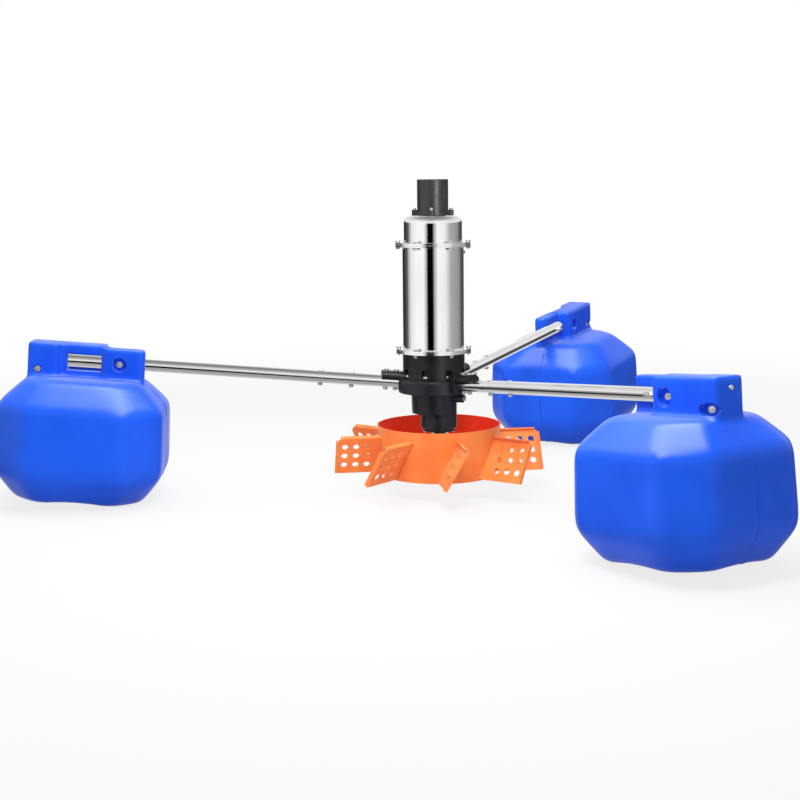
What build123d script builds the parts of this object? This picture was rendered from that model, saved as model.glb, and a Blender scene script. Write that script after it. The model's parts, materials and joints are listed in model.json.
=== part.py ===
"""Floating impeller aerator, in millimetres.

Z points up. The origin is the middle of the lower end face of the output shaft, so the
impeller turns about the Z axis. The three arms lie at 60, 180 and 300 degrees.
"""
from build123d import *
from math import acos, asin, cos, degrees, pi, radians, sin, sqrt, tan
import os

# Overall layout
arm_level = 262.0
arm_rise = 4.8
arm_count = 3
first_arm = 60.0
float_reach = 1100.0
motor_offset = 15.0
motor_turn = -4.4

# Clearances
running_fit = 0.05
seat_gap = 0.1
loose_gap = 0.3

# Gear train: input pinion, counter gear, counter pinion, output gear
input_module = 1.5
input_teeth = 12
counter_gear_teeth = 45
output_module = 2.0
counter_pinion_teeth = 14
output_gear_teeth = 40
pressure_angle = 20.0
addendum_factor = 0.9
dedendum_factor = 1.25
tooth_thinning = 0.2
counter_gear_face = 18.0
output_gear_face = 30.0
input_pinion_extra = 4.0
output_gear_rise = 12.0
gear_spacing = 14.0

# Gear case casting
ring_radius = 112.0
ring_top = 19.0
ring_bottom = -22.0
neck_radius = 72.0
neck_height = 66.0
neck_taper = 2.0
barrel_radius = 57.0
barrel_height = 50.0
casting_edge = 3.0
gear_room_radius = 47.0
counter_room_radius = 21.0
gear_room_floor = -10.0
bearing_shoulder = 5.0

# Arm sockets and saddles, measured along an arm from the output axis
socket_start = 114.0
socket_boss_start = 96.0
socket_boss_end = 128.0
socket_boss_width = 62.0
saddle_end = 183.0
saddle_width = 54.0
saddle_top = 34.0
saddle_skirt = 13.0
saddle_round = 16.0
saddle_bolt_reaches = (137.0, 168.0)
sleeve_bolt_reaches = (276.0, 374.0)

# Drain lug under the ring
lug_azimuth = -24.0
lug_drop = 17.0
lug_radius = 15.0
lug_reach = 98.0
drain_depth = 16.0

# Gearbox cover
cover_height = 85.0
cover_radius = 97.5
cover_room_radius = 80.0
cover_roof = 12.0
cover_foot = 11.0
cover_bolt_circle = 91.0
cover_bolt_count = 8
cover_bolt_start = 24.0
cover_pocket_radius = 10.5
cover_pocket_height = 24.0
pocket_wall = 3.0
cover_thread_depth = 16.0
gasket_thickness = 1.0
counter_boss_radius = 21.0
counter_boss_height = 13.0

# Bearings: inner radius, outer radius, width
shaft_bearing = (17.5, 36.0, 17.0)
motor_bearing = (15.0, 31.0, 16.0)
counter_bearing = (6.0, 16.0, 10.0)
race_thickness = 4.0
race_recess = 1.0

# Bearing cap, the nose under the gear case
cap_flange_radius = 51.0
cap_flange_height = 8.0
nose_radius = 28.5
nose_height = 27.0
nose_bore_gap = 1.0
cap_bolt_circle = 44.0
cap_bolt_count = 6
cap_thread_depth = 14.0
output_seal_radius = 21.0
output_seal_height = 7.0

# Shafts
output_shaft_radius = 15.0
output_shoulder_radius = 21.0
counter_shaft_radius = 10.0
motor_shaft_radius = 15.0
rotor_seat_radius = 20.0
input_seal_radius = 23.5
input_seal_height = 8.0
end_hole_radius = 4.25
end_hole_depth = 22.0
end_chamfer = 1.0

# Motor
flange_radius = 118.0
flange_thickness = 5.0
casing_radius = 96.5
casing_wall = 2.0
casing_height = 329.0
lower_shield_thickness = 7.0
upper_shield_rim = 3.0
bearing_seat_wall = 6.0
bearing_seat_floor = 4.0
dome_radius = 91.5
dome_height = 89.0
dome_wall = 2.0
dome_round = 24.0
dome_hole_radius = 30.0
flange_bolt_circle = 110.0
flange_bolt_count = 6
stator_length = 120.0
stator_start = 68.0
stator_bore_radius = 52.0
air_gap = 0.5
winding_height = 26.0
winding_gap = 6.0
shield_screw_circle = 84.0
shield_screw_count = 6
earth_screw_drop = 24.0

# Cable cap
cap_radius = 48.5
cap_height = 110.0
cap_wall = 6.0
cap_top_thickness = 40.0
cap_turn = -8.0
cap_ear_circle = 57.0
cap_ear_radius = 8.5
cap_ear_height = 16.0
cap_foot_radius = 55.0
cap_foot_height = 9.0
cap_screw_count = 4
grommet_radius = 22.0
grommet_height = 28.0
cable_radius = 7.0

# Impeller
drum_top_level = 137.0
drum_bottom_level = -23.0
drum_top_radius = 196.0
drum_bottom_radius = 179.0
sheet = 3.0
blade_count = 8
blade_start = 5.6
blade_tilt = 30.0
blade_length = 140.0
blade_tip_radius = 330.0
blade_bottom_level = -18.0
blade_corner = 14.0
blade_lip = 14.0
blade_hole_radius = 10.0
blade_hole_pitch = 36.0
blade_hole_edge = 27.0
blade_hole_count = 3
hub_radius = 32.0
hub_bottom = 12.0
hub_height = 72.0
spoke_count = 4
spoke_thickness = 8.0
spoke_height = 50.0
spoke_bottom = 17.0
set_screw_levels = (24.0, 72.0)
set_screw_azimuth = 45.0
key_width = 8.0
key_height = 7.0
key_length = 56.0

# Arm tubes
tube_radius = 19.0
tube_wall = 1.5
tube_start = 115.0
tube_end_past_float = 160.0
sleeve_start = 116.0
sleeve_end = 404.0
sleeve_wall = 2.0

# Floats, with distances from the middle of the float along and across its arm. Each level
# gives a height, the half length of the body there and the rounding of the edge
float_wall = 4.5
float_levels = (
    (-48.0, 172.0, 25.0),
    (-124.0, 252.0, 100.0),
    (-332.0, 259.0, 70.0),
    (-424.0, 194.0, 20.0),
)
float_narrower = 14.0
float_corner_share = 0.40
float_corner_round_share = 0.2
foot_hollow_radius = 400.0
foot_hollow_depth = 9.0
bracket_half_length = 180.0
bracket_half_width = 48.0
bracket_top = 55.0
bracket_root = -78.0
bracket_block_end = -51.0
bracket_block_top = 50.0
bracket_wall_start = -60.0
bracket_recess_end = 82.0
bracket_recess_width = 30.0
bracket_round = 9.0
bracket_end_round = 14.0
bracket_top_round = 7.0
window_start = -46.0
window_end = 59.0
window_bottom = -28.0
window_top = 25.0
inner_bolt_place = -102.0
middle_bolt_place = -10.0
outer_bolt_place = 147.0
outer_bolt_drop = 27.0
inner_pocket_radius = 22.0
middle_pocket_radius = 26.0
outer_pocket_radius = 13.0
pocket_depth = 18.0
outer_pocket_depth = 8.0
slot_length = 62.0
slot_height = 34.0
plug_radius = 6.0
plug_level = 26.0
plug_head = 4.0
plug_depth = 10.0

# Fasteners: thread radius, width across flats, head height, nut height
m6 = (3.0, 10.0, 4.0, 5.0)
m8 = (4.0, 13.0, 5.3, 6.5)
m10 = (5.0, 16.0, 6.4, 8.0)
drain_thread = (6.0, 17.0, 6.0, 8.0)
bolt_end = 2.0
button_height = 2.0
button_radius = 7.5
screw_socket_share = 0.8
set_screw_length = 14.0

# Derived levels
case_top = arm_level + ring_top
case_foot = arm_level + ring_bottom
neck_foot = case_foot - neck_height
barrel_foot = neck_foot - barrel_height
cover_base = case_top + gasket_thickness
cover_top = cover_base + cover_height
shield_top = cover_top + lower_shield_thickness
casing_top = shield_top + casing_height
upper_rim_top = casing_top + upper_shield_rim
dome_top = upper_rim_top + dome_height
cap_top = dome_top + cap_height
nose_foot = barrel_foot - nose_height
float_width = 2 * max(half_length for level, half_length, rounding in float_levels)
room_floor = arm_level + gear_room_floor
roof_level = cover_top - cover_roof

# Derived gear places: the countershaft stands where both centre distances are met
input_distance = input_module * (input_teeth + counter_gear_teeth) / 2
output_distance = output_module * (counter_pinion_teeth + output_gear_teeth) / 2
counter_x = (input_distance**2 - output_distance**2 - motor_offset**2) / (2 * motor_offset)
counter_y = sqrt(output_distance**2 - counter_x**2)
output_gear_base = room_floor + output_gear_rise
counter_gear_base = output_gear_base + output_gear_face + gear_spacing

motor_axis = Plane(origin=(-motor_offset, 0, 0))
turned_motor_axis = Plane(Location((-motor_offset, 0, 0), (0, 0, motor_turn)))
counter_axis = Plane(origin=(counter_x, counter_y, 0))
cap_plane = Plane(Location((-motor_offset, 0, 0), (0, 0, cap_turn)))


def arm_frame(number):
    """Plane on the output axis with X out along an arm and Z square to it, upwards."""
    azimuth = radians(first_arm + number * 360 / arm_count)
    rise = radians(arm_rise)
    outwards = (cos(azimuth) * cos(rise), sin(azimuth) * cos(rise), sin(rise))
    upwards = (-cos(azimuth) * sin(rise), -sin(azimuth) * sin(rise), cos(rise))
    return Plane(origin=(0, 0, arm_level), x_dir=outwards, z_dir=upwards)


def arm_section(frame, reach):
    """Plane square to an arm at a distance from the output axis, with Y upwards."""
    return Plane(origin=frame.origin + frame.x_dir * reach, x_dir=frame.y_dir, z_dir=frame.x_dir)


arm_frames = [arm_frame(number) for number in range(arm_count)]
along_arm = arm_section(Plane.XY, 0)
set_screw_plane = arm_section(Plane(Location((0, 0, 0), (0, 0, set_screw_azimuth))), 0)

os.makedirs("parts", exist_ok=True)


def save(piece, name):
    """Label a finished piece and write it as its own file."""
    piece.label = name
    export_step(piece, f"parts/{name}.step")


def hex_bolt(thread, length):
    """Hexagon bolt with its head above the XY plane and its shank below."""
    radius, flats, head, nut = thread
    with BuildPart() as bolt:
        with BuildSketch():
            RegularPolygon(flats / 2, 6, major_radius=False)
        extrude(amount=head)
        with BuildSketch():
            Circle(radius)
        extrude(amount=-length)
    return bolt.part


def hex_nut(thread):
    """Hexagon nut that hangs under the XY plane."""
    radius, flats, head, nut = thread
    with BuildPart() as piece:
        with BuildSketch():
            RegularPolygon(flats / 2, 6, major_radius=False)
            Circle(radius + running_fit, mode=Mode.SUBTRACT)
        extrude(amount=-nut)
    return piece.part


def cap_screw(thread, length):
    """Round-headed screw with its head above the XY plane and its shank below."""
    radius, flats, head, nut = thread
    with BuildPart() as screw:
        with BuildSketch():
            Circle(flats / 2)
        extrude(amount=2 * radius)
        with BuildSketch(Plane.XY.offset(2 * radius)):
            RegularPolygon(radius * screw_socket_share, 6)
        extrude(amount=-radius, mode=Mode.SUBTRACT)
        with BuildSketch():
            Circle(radius)
        extrude(amount=-length)
    return screw.part


def ball_bearing(sizes, axis, base):
    """Sealed ball bearing standing on a level, its shields set back between the races."""
    inner, outer, width = sizes
    with BuildPart() as bearing:
        with BuildSketch(axis.offset(base)):
            Circle(outer)
            Circle(inner + running_fit, mode=Mode.SUBTRACT)
        extrude(amount=width)
        for level, inwards in ((base, 1), (base + width, -1)):
            with BuildSketch(axis.offset(level)):
                Circle(outer - race_thickness)
                Circle(inner + race_thickness, mode=Mode.SUBTRACT)
            extrude(amount=inwards * race_recess, mode=Mode.SUBTRACT)
    return bearing.part


def involute(angle):
    """Involute function of an angle in radians."""
    return tan(angle) - angle


def gear_outline(module, teeth, first_tooth):
    """Outline of a spur gear, with the middle of one tooth at the angle first_tooth."""
    pitch = module * teeth / 2
    base = pitch * cos(radians(pressure_angle))
    tip = pitch + addendum_factor * module
    root = pitch - dedendum_factor * module
    at_pitch = pi / (2 * teeth) - tooth_thinning / (2 * pitch)

    def half_tooth(radius):
        flank = acos(min(1.0, base / radius))
        return at_pitch + involute(radians(pressure_angle)) - involute(flank)

    flank_radii = [max(root, base), (max(root, base) + pitch) / 2, pitch, (pitch + tip) / 2, tip]
    steps = [(root, half_tooth(flank_radii[0]))] if root < base else []
    steps += [(radius, half_tooth(radius)) for radius in flank_radii]
    points = []
    for tooth in range(teeth):
        middle = radians(first_tooth) + tooth * 2 * pi / teeth
        for radius, half in steps:
            points.append((radius * cos(middle - half), radius * sin(middle - half)))
        for radius, half in reversed(steps):
            points.append((radius * cos(middle + half), radius * sin(middle + half)))
    with BuildSketch() as outline:
        with BuildLine():
            Polyline(*points, close=True)
        make_face()
    return outline.sketch


# Directions of the two meshes, from which the first tooth or gap of each gear follows
to_counter = degrees(asin(counter_y / input_distance))
input_mesh = 180 - to_counter
output_mesh = degrees(acos(counter_x / output_distance)) - 180


def gap_towards(teeth, direction):
    """Angle of a first tooth that leaves a gap between teeth in the given direction."""
    return direction + 180 / teeth


# Gear case: arm ring, neck and barrel in one casting, with a saddle over each arm
with BuildPart() as gear_case:
    with BuildSketch(motor_axis.offset(case_foot)):
        Circle(neck_radius)
    extrude(amount=-neck_height, taper=neck_taper)
    with BuildSketch(Plane.XY.offset(case_foot)):
        Circle(barrel_radius)
    extrude(amount=barrel_foot - case_foot)
    barrel_rim = gear_case.edges().filter_by(GeomType.CIRCLE).sort_by(Axis.Z)[0]
    chamfer(barrel_rim, cap_flange_height / 2)
    with BuildSketch(motor_axis.offset(case_foot)):
        Circle(ring_radius)
    extrude(amount=case_top - case_foot)
    ring_rims = gear_case.edges().filter_by(GeomType.CIRCLE)
    ring_rims = ring_rims.filter_by(lambda edge: abs(edge.radius - ring_radius) < seat_gap)
    fillet(ring_rims, casting_edge)
    for frame in arm_frames:
        with BuildSketch(arm_section(frame, socket_boss_start)) as boss:
            with Locations((0, (saddle_top + ring_bottom) / 2)):
                Rectangle(socket_boss_width, saddle_top - ring_bottom)
            fillet(boss.vertices().group_by(Axis.Y)[-1], saddle_round)
            fillet(boss.vertices().group_by(Axis.Y)[0], casting_edge)
        extrude(amount=socket_boss_end - socket_boss_start)
        with BuildSketch(arm_section(frame, socket_boss_start)) as saddle:
            with Locations((0, (saddle_top + saddle_skirt) / 2)):
                Rectangle(saddle_width, saddle_top - saddle_skirt)
            fillet(saddle.vertices().group_by(Axis.Y)[-1], saddle_round)
        extrude(amount=saddle_end - socket_boss_start)
    # Drain lug
    lug_plane = Plane(Location((-motor_offset, 0, case_foot - lug_drop), (0, 0, lug_azimuth)))
    with BuildSketch(arm_section(lug_plane, neck_radius / 2)):
        Circle(lug_radius)
    extrude(amount=lug_reach - neck_radius / 2)
    with BuildSketch(arm_section(lug_plane, lug_reach)):
        Circle(drain_thread[0] + seat_gap)
    extrude(amount=-drain_depth, mode=Mode.SUBTRACT)
    # Room for the cover above the ring
    with BuildSketch(motor_axis.offset(case_top)):
        Circle(cover_radius + loose_gap)
    extrude(amount=cover_height, mode=Mode.SUBTRACT)
    # Gear room, bearing seats and shaft tunnel
    with BuildSketch(Plane.XY.offset(case_top)):
        Circle(gear_room_radius)
        with Locations((counter_x, counter_y)):
            Circle(counter_room_radius)
        make_hull()
    extrude(amount=room_floor - case_top, mode=Mode.SUBTRACT)
    with BuildSketch(counter_axis.offset(room_floor)):
        Circle(counter_bearing[1] + seat_gap)
    extrude(amount=-counter_bearing[2], mode=Mode.SUBTRACT)
    for level, direction in ((room_floor, -1), (barrel_foot, 1)):
        with BuildSketch(Plane.XY.offset(level)):
            Circle(shaft_bearing[1] + seat_gap)
        extrude(amount=direction * shaft_bearing[2], mode=Mode.SUBTRACT)
    with BuildSketch(Plane.XY.offset(room_floor)):
        Circle(shaft_bearing[1] - bearing_shoulder)
    extrude(amount=barrel_foot - room_floor, mode=Mode.SUBTRACT)
    # Tube sockets with their bolt holes
    for frame in arm_frames:
        with BuildSketch(arm_section(frame, socket_start)):
            Circle(tube_radius + seat_gap)
        extrude(amount=saddle_end, mode=Mode.SUBTRACT)
        with BuildSketch(frame.offset(saddle_top)):
            with Locations(*[(reach, 0) for reach in saddle_bolt_reaches]):
                Circle(m8[0] + seat_gap)
        extrude(amount=-saddle_top, mode=Mode.SUBTRACT)
    # Threaded holes for the cover above and the bearing cap below
    with BuildSketch(motor_axis.offset(case_top)):
        with PolarLocations(cover_bolt_circle, cover_bolt_count, start_angle=cover_bolt_start):
            Circle(m8[0] + seat_gap)
    extrude(amount=-cover_thread_depth, mode=Mode.SUBTRACT)
    with BuildSketch(Plane.XY.offset(barrel_foot)):
        with PolarLocations(cap_bolt_circle, cap_bolt_count):
            Circle(m6[0] + seat_gap)
    extrude(amount=cap_thread_depth, mode=Mode.SUBTRACT)
save(gear_case.part, "gear_case")

with BuildPart() as drain_plug:
    with Locations(arm_section(lug_plane, lug_reach)):
        add(hex_bolt(drain_thread, drain_depth - bolt_end))
save(drain_plug.part, "drain_plug")

# Gasket between the gear case and its cover
with BuildPart() as case_gasket:
    with BuildSketch(motor_axis.offset(case_top)):
        Circle(cover_radius)
        Circle(cover_room_radius, mode=Mode.SUBTRACT)
        with PolarLocations(cover_bolt_circle, cover_bolt_count, start_angle=cover_bolt_start):
            Circle(m8[0] + loose_gap, mode=Mode.SUBTRACT)
    extrude(amount=gasket_thickness)
save(case_gasket.part, "case_gasket")

# Gearbox cover: a deep cast bell with open pockets round its foot for the bolts
with BuildPart() as gearbox_cover:
    with BuildSketch(motor_axis.offset(cover_base)):
        Circle(cover_radius)
    extrude(amount=cover_height)
    chamfer(gearbox_cover.edges().filter_by(GeomType.CIRCLE), casting_edge / 2)
    with BuildSketch(motor_axis.offset(cover_base)):
        Circle(cover_room_radius)
    extrude(amount=cover_height - cover_roof, mode=Mode.SUBTRACT)
    with BuildSketch(motor_axis.offset(cover_base + cover_foot)):
        with PolarLocations(cover_bolt_circle, cover_bolt_count, start_angle=cover_bolt_start):
            SlotCenterToCenter(2 * cover_pocket_radius, 2 * cover_pocket_radius)
        Circle(cover_room_radius + pocket_wall, mode=Mode.SUBTRACT)
    extrude(amount=cover_pocket_height, mode=Mode.SUBTRACT)
    with BuildSketch(motor_axis.offset(cover_base)):
        with PolarLocations(cover_bolt_circle, cover_bolt_count, start_angle=cover_bolt_start):
            Circle(m8[0] + loose_gap)
    extrude(amount=cover_foot, mode=Mode.SUBTRACT)
    with BuildSketch(counter_axis.offset(roof_level)):
        Circle(counter_boss_radius)
    extrude(amount=-counter_boss_height)
    with BuildSketch(counter_axis.offset(roof_level - counter_boss_height)):
        Circle(counter_bearing[1] + seat_gap)
    extrude(amount=counter_bearing[2], mode=Mode.SUBTRACT)
    with BuildSketch(motor_axis.offset(cover_top)):
        Circle(input_seal_radius + seat_gap)
    extrude(amount=-input_seal_height, mode=Mode.SUBTRACT)
    with BuildSketch(motor_axis.offset(roof_level)):
        Circle(motor_shaft_radius + nose_bore_gap)
    extrude(amount=cover_roof, mode=Mode.SUBTRACT)
    with BuildSketch(motor_axis.offset(cover_top)):
        with PolarLocations(shield_screw_circle, shield_screw_count):
            Circle(m6[0] + seat_gap)
    extrude(amount=-cover_roof + bolt_end, mode=Mode.SUBTRACT)
save(gearbox_cover.part, "gearbox_cover")

with BuildPart() as cover_bolts:
    with Locations(motor_axis.offset(cover_base + cover_foot)):
        with PolarLocations(cover_bolt_circle, cover_bolt_count, start_angle=cover_bolt_start):
            add(hex_bolt(m8, cover_foot + gasket_thickness + cover_thread_depth - bolt_end))
save(cover_bolts.part, "cover_bolts")

with BuildPart() as input_seal:
    with BuildSketch(motor_axis.offset(cover_top - input_seal_height)):
        Circle(input_seal_radius)
        Circle(motor_shaft_radius + running_fit, mode=Mode.SUBTRACT)
    extrude(amount=input_seal_height)
save(input_seal.part, "input_seal")

# Bearing cap: flange and nose round the output shaft, with the seal in its lower end
with BuildPart() as bearing_cap:
    with BuildSketch(Plane.XY.offset(barrel_foot)):
        Circle(cap_flange_radius)
    extrude(amount=-cap_flange_height)
    with BuildSketch(Plane.XY.offset(barrel_foot)):
        Circle(nose_radius)
    extrude(amount=-nose_height)
    fillet(bearing_cap.edges().filter_by(GeomType.CIRCLE).sort_by(Axis.Z)[0], bolt_end)
    with BuildSketch(Plane.XY.offset(barrel_foot)):
        Circle(output_shaft_radius + nose_bore_gap)
        with PolarLocations(cap_bolt_circle, cap_bolt_count):
            Circle(m6[0] + loose_gap)
    extrude(amount=-nose_height, mode=Mode.SUBTRACT)
    with BuildSketch(Plane.XY.offset(nose_foot)):
        Circle(output_seal_radius + seat_gap)
    extrude(amount=output_seal_height, mode=Mode.SUBTRACT)
save(bearing_cap.part, "bearing_cap")

with BuildPart() as bearing_cap_screws:
    with PolarLocations(cap_bolt_circle, cap_bolt_count):
        with Locations(Location((0, 0, barrel_foot - cap_flange_height), (180, 0, 0))):
            add(cap_screw(m6, cap_flange_height + cap_thread_depth - bolt_end))
save(bearing_cap_screws.part, "bearing_cap_screws")

with BuildPart() as output_seal:
    with BuildSketch(Plane.XY.offset(nose_foot)):
        Circle(output_seal_radius)
        Circle(output_shaft_radius + running_fit, mode=Mode.SUBTRACT)
    extrude(amount=output_seal_height)
save(output_seal.part, "output_seal")

# Bearings of the gearbox
save(ball_bearing(shaft_bearing, Plane.XY, room_floor - shaft_bearing[2]), "output_upper_bearing")
save(ball_bearing(shaft_bearing, Plane.XY, barrel_foot), "output_lower_bearing")
save(ball_bearing(counter_bearing, counter_axis, room_floor - counter_bearing[2]), "counter_lower_bearing")
save(
    ball_bearing(counter_bearing, counter_axis, roof_level - counter_boss_height),
    "counter_upper_bearing",
)

# Output shaft, stepped from its free lower end up to the output gear
with BuildPart() as output_shaft:
    with BuildSketch(Plane.XY):
        Circle(output_shaft_radius)
    extrude(amount=barrel_foot + loose_gap)
    chamfer(output_shaft.edges().filter_by(GeomType.CIRCLE).sort_by(Axis.Z)[0], end_chamfer)
    with BuildSketch(Plane.XY.offset(barrel_foot + loose_gap)):
        Circle(shaft_bearing[0])
    extrude(amount=output_gear_base + output_gear_face + bolt_end - barrel_foot)
    shoulder_start = barrel_foot + shaft_bearing[2] + loose_gap
    with BuildSketch(Plane.XY.offset(shoulder_start)):
        Circle(output_shoulder_radius)
    extrude(amount=room_floor - shaft_bearing[2] - loose_gap - shoulder_start)
    with BuildSketch(Plane.XY):
        Circle(end_hole_radius)
    extrude(amount=end_hole_depth, mode=Mode.SUBTRACT)
    with BuildSketch(Plane.XY.offset(hub_bottom)):
        with Locations((0, output_shaft_radius)):
            Rectangle(key_width + 2 * seat_gap, key_height + 2 * seat_gap)
    extrude(amount=key_length + seat_gap, mode=Mode.SUBTRACT)
save(output_shaft.part, "output_shaft")

with BuildPart() as output_gear:
    with BuildSketch(Plane.XY.offset(output_gear_base)):
        gap_angle = gap_towards(output_gear_teeth, output_mesh + 180)
        add(gear_outline(output_module, output_gear_teeth, gap_angle))
        Circle(shaft_bearing[0] + seat_gap, mode=Mode.SUBTRACT)
    extrude(amount=output_gear_face)
save(output_gear.part, "output_gear")

# Countershaft with its pinion cut in one piece, and the counter gear that it carries
with BuildPart() as countershaft:
    with BuildSketch(counter_axis.offset(room_floor - counter_bearing[2])):
        Circle(counter_bearing[0])
    extrude(amount=roof_level - counter_boss_height + 2 * counter_bearing[2] - room_floor)
    with BuildSketch(counter_axis.offset(room_floor + loose_gap)):
        Circle(counter_shaft_radius)
    extrude(amount=roof_level - counter_boss_height - room_floor - 2 * loose_gap)
    with BuildSketch(counter_axis.offset(output_gear_base - loose_gap)):
        add(gear_outline(output_module, counter_pinion_teeth, output_mesh))
    extrude(amount=output_gear_face + 2 * loose_gap)
save(countershaft.part, "countershaft")

with BuildPart() as counter_gear:
    with BuildSketch(counter_axis.offset(counter_gear_base)):
        gap_angle = gap_towards(counter_gear_teeth, input_mesh + 180)
        add(gear_outline(input_module, counter_gear_teeth, gap_angle))
        Circle(counter_shaft_radius + seat_gap, mode=Mode.SUBTRACT)
    extrude(amount=counter_gear_face)
save(counter_gear.part, "counter_gear")

# Motor: shaft with the input pinion cut on its lower end, rotor, stator and windings
stator_base = shield_top + stator_start
rotor_top = stator_base + stator_length
upper_bearing_base = casing_top - motor_bearing[2] - bearing_seat_floor
lower_bearing_base = shield_top + bearing_seat_floor

with BuildPart() as motor_shaft:
    with BuildSketch(motor_axis.offset(counter_gear_base - input_pinion_extra)):
        add(gear_outline(input_module, input_teeth, input_mesh))
    extrude(amount=roof_level - loose_gap - counter_gear_base + input_pinion_extra)
    with BuildSketch(motor_axis.offset(roof_level - loose_gap)):
        Circle(motor_shaft_radius)
    extrude(amount=upper_bearing_base + motor_bearing[2] - roof_level)
    with BuildSketch(motor_axis.offset(lower_bearing_base + motor_bearing[2] + loose_gap)):
        Circle(rotor_seat_radius)
    extrude(amount=upper_bearing_base - lower_bearing_base - motor_bearing[2] - 2 * loose_gap)
save(motor_shaft.part, "motor_shaft")

with BuildPart() as rotor_core:
    with BuildSketch(motor_axis.offset(stator_base)):
        Circle(stator_bore_radius - air_gap)
        Circle(rotor_seat_radius + seat_gap, mode=Mode.SUBTRACT)
    extrude(amount=stator_length)
save(rotor_core.part, "rotor_core")

with BuildPart() as stator_core:
    with BuildSketch(motor_axis.offset(stator_base)):
        Circle(casing_radius - casing_wall - seat_gap)
        Circle(stator_bore_radius, mode=Mode.SUBTRACT)
    extrude(amount=stator_length)
save(stator_core.part, "stator_core")

with BuildPart() as stator_windings:
    for level in (stator_base - winding_height, rotor_top):
        with BuildSketch(motor_axis.offset(level)):
            Circle(casing_radius - casing_wall - winding_gap)
            Circle(stator_bore_radius + winding_gap, mode=Mode.SUBTRACT)
        extrude(amount=winding_height)
save(stator_windings.part, "stator_windings")

save(ball_bearing(motor_bearing, motor_axis, lower_bearing_base), "motor_lower_bearing")
save(ball_bearing(motor_bearing, motor_axis, upper_bearing_base), "motor_upper_bearing")

# Lower end shield: its rim is the lower half of the lower flange joint
with BuildPart() as lower_end_shield:
    with BuildSketch(motor_axis.offset(cover_top)):
        Circle(flange_radius)
    extrude(amount=lower_shield_thickness)
    with BuildSketch(motor_axis.offset(shield_top)):
        Circle(motor_bearing[1] + bearing_seat_wall)
    extrude(amount=motor_bearing[2] + bearing_seat_floor)
    with BuildSketch(motor_axis.offset(lower_bearing_base)):
        Circle(motor_bearing[1] + seat_gap)
    extrude(amount=motor_bearing[2], mode=Mode.SUBTRACT)
    with BuildSketch(motor_axis.offset(cover_top)):
        Circle(motor_shaft_radius + nose_bore_gap)
        with PolarLocations(shield_screw_circle, shield_screw_count):
            Circle(m6[0] + loose_gap)
    extrude(amount=lower_shield_thickness + bearing_seat_floor, mode=Mode.SUBTRACT)
    with BuildSketch(turned_motor_axis.offset(cover_top)):
        with PolarLocations(flange_bolt_circle, flange_bolt_count):
            Circle(m8[0] + loose_gap)
    extrude(amount=lower_shield_thickness, mode=Mode.SUBTRACT)
save(lower_end_shield.part, "lower_end_shield")

with BuildPart() as shield_screws:
    with Locations(motor_axis.offset(shield_top)):
        with PolarLocations(shield_screw_circle, shield_screw_count):
            add(cap_screw(m6, lower_shield_thickness + cover_roof - 2 * bolt_end))
save(shield_screws.part, "shield_screws")

# Casing: a rolled stainless tube with a flange at each end
with BuildPart() as motor_casing:
    with BuildSketch(motor_axis.offset(shield_top)):
        Circle(casing_radius)
    extrude(amount=casing_height)
    for level, inwards in ((shield_top, 1), (casing_top, -1)):
        with BuildSketch(motor_axis.offset(level)):
            Circle(flange_radius)
        extrude(amount=inwards * flange_thickness)
    with BuildSketch(motor_axis.offset(shield_top)):
        Circle(casing_radius - casing_wall)
    extrude(amount=casing_height, mode=Mode.SUBTRACT)
    with BuildSketch(turned_motor_axis.offset(shield_top)):
        with PolarLocations(flange_bolt_circle, flange_bolt_count):
            Circle(m8[0] + loose_gap)
    extrude(amount=casing_height, mode=Mode.SUBTRACT)
    earth_plane = arm_section(turned_motor_axis.offset(casing_top - earth_screw_drop), casing_radius)
    with BuildSketch(earth_plane):
        Circle(m6[0] + seat_gap)
    extrude(amount=-2 * casing_wall, mode=Mode.SUBTRACT)
save(motor_casing.part, "motor_casing")

with BuildPart() as earth_screw:
    with Locations(earth_plane.offset(loose_gap)):
        add(hex_bolt(m6, 3 * casing_wall))
save(earth_screw.part, "earth_screw")

# Upper end shield: a dished plate whose rim is held between the casing and the dome
with BuildPart() as upper_end_shield:
    with BuildSketch(motor_axis.offset(casing_top)):
        Circle(flange_radius)
    extrude(amount=upper_shield_rim)
    with BuildSketch(motor_axis.offset(casing_top)):
        Circle(motor_bearing[1] + bearing_seat_wall)
    extrude(amount=-motor_bearing[2] - bearing_seat_floor)
    with BuildSketch(motor_axis.offset(upper_bearing_base)):
        Circle(motor_bearing[1] + seat_gap)
    extrude(amount=motor_bearing[2], mode=Mode.SUBTRACT)
    with BuildSketch(turned_motor_axis.offset(casing_top)):
        with PolarLocations(flange_bolt_circle, flange_bolt_count):
            Circle(m8[0] + loose_gap)
    extrude(amount=upper_shield_rim, mode=Mode.SUBTRACT)
save(upper_end_shield.part, "upper_end_shield")

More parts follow.
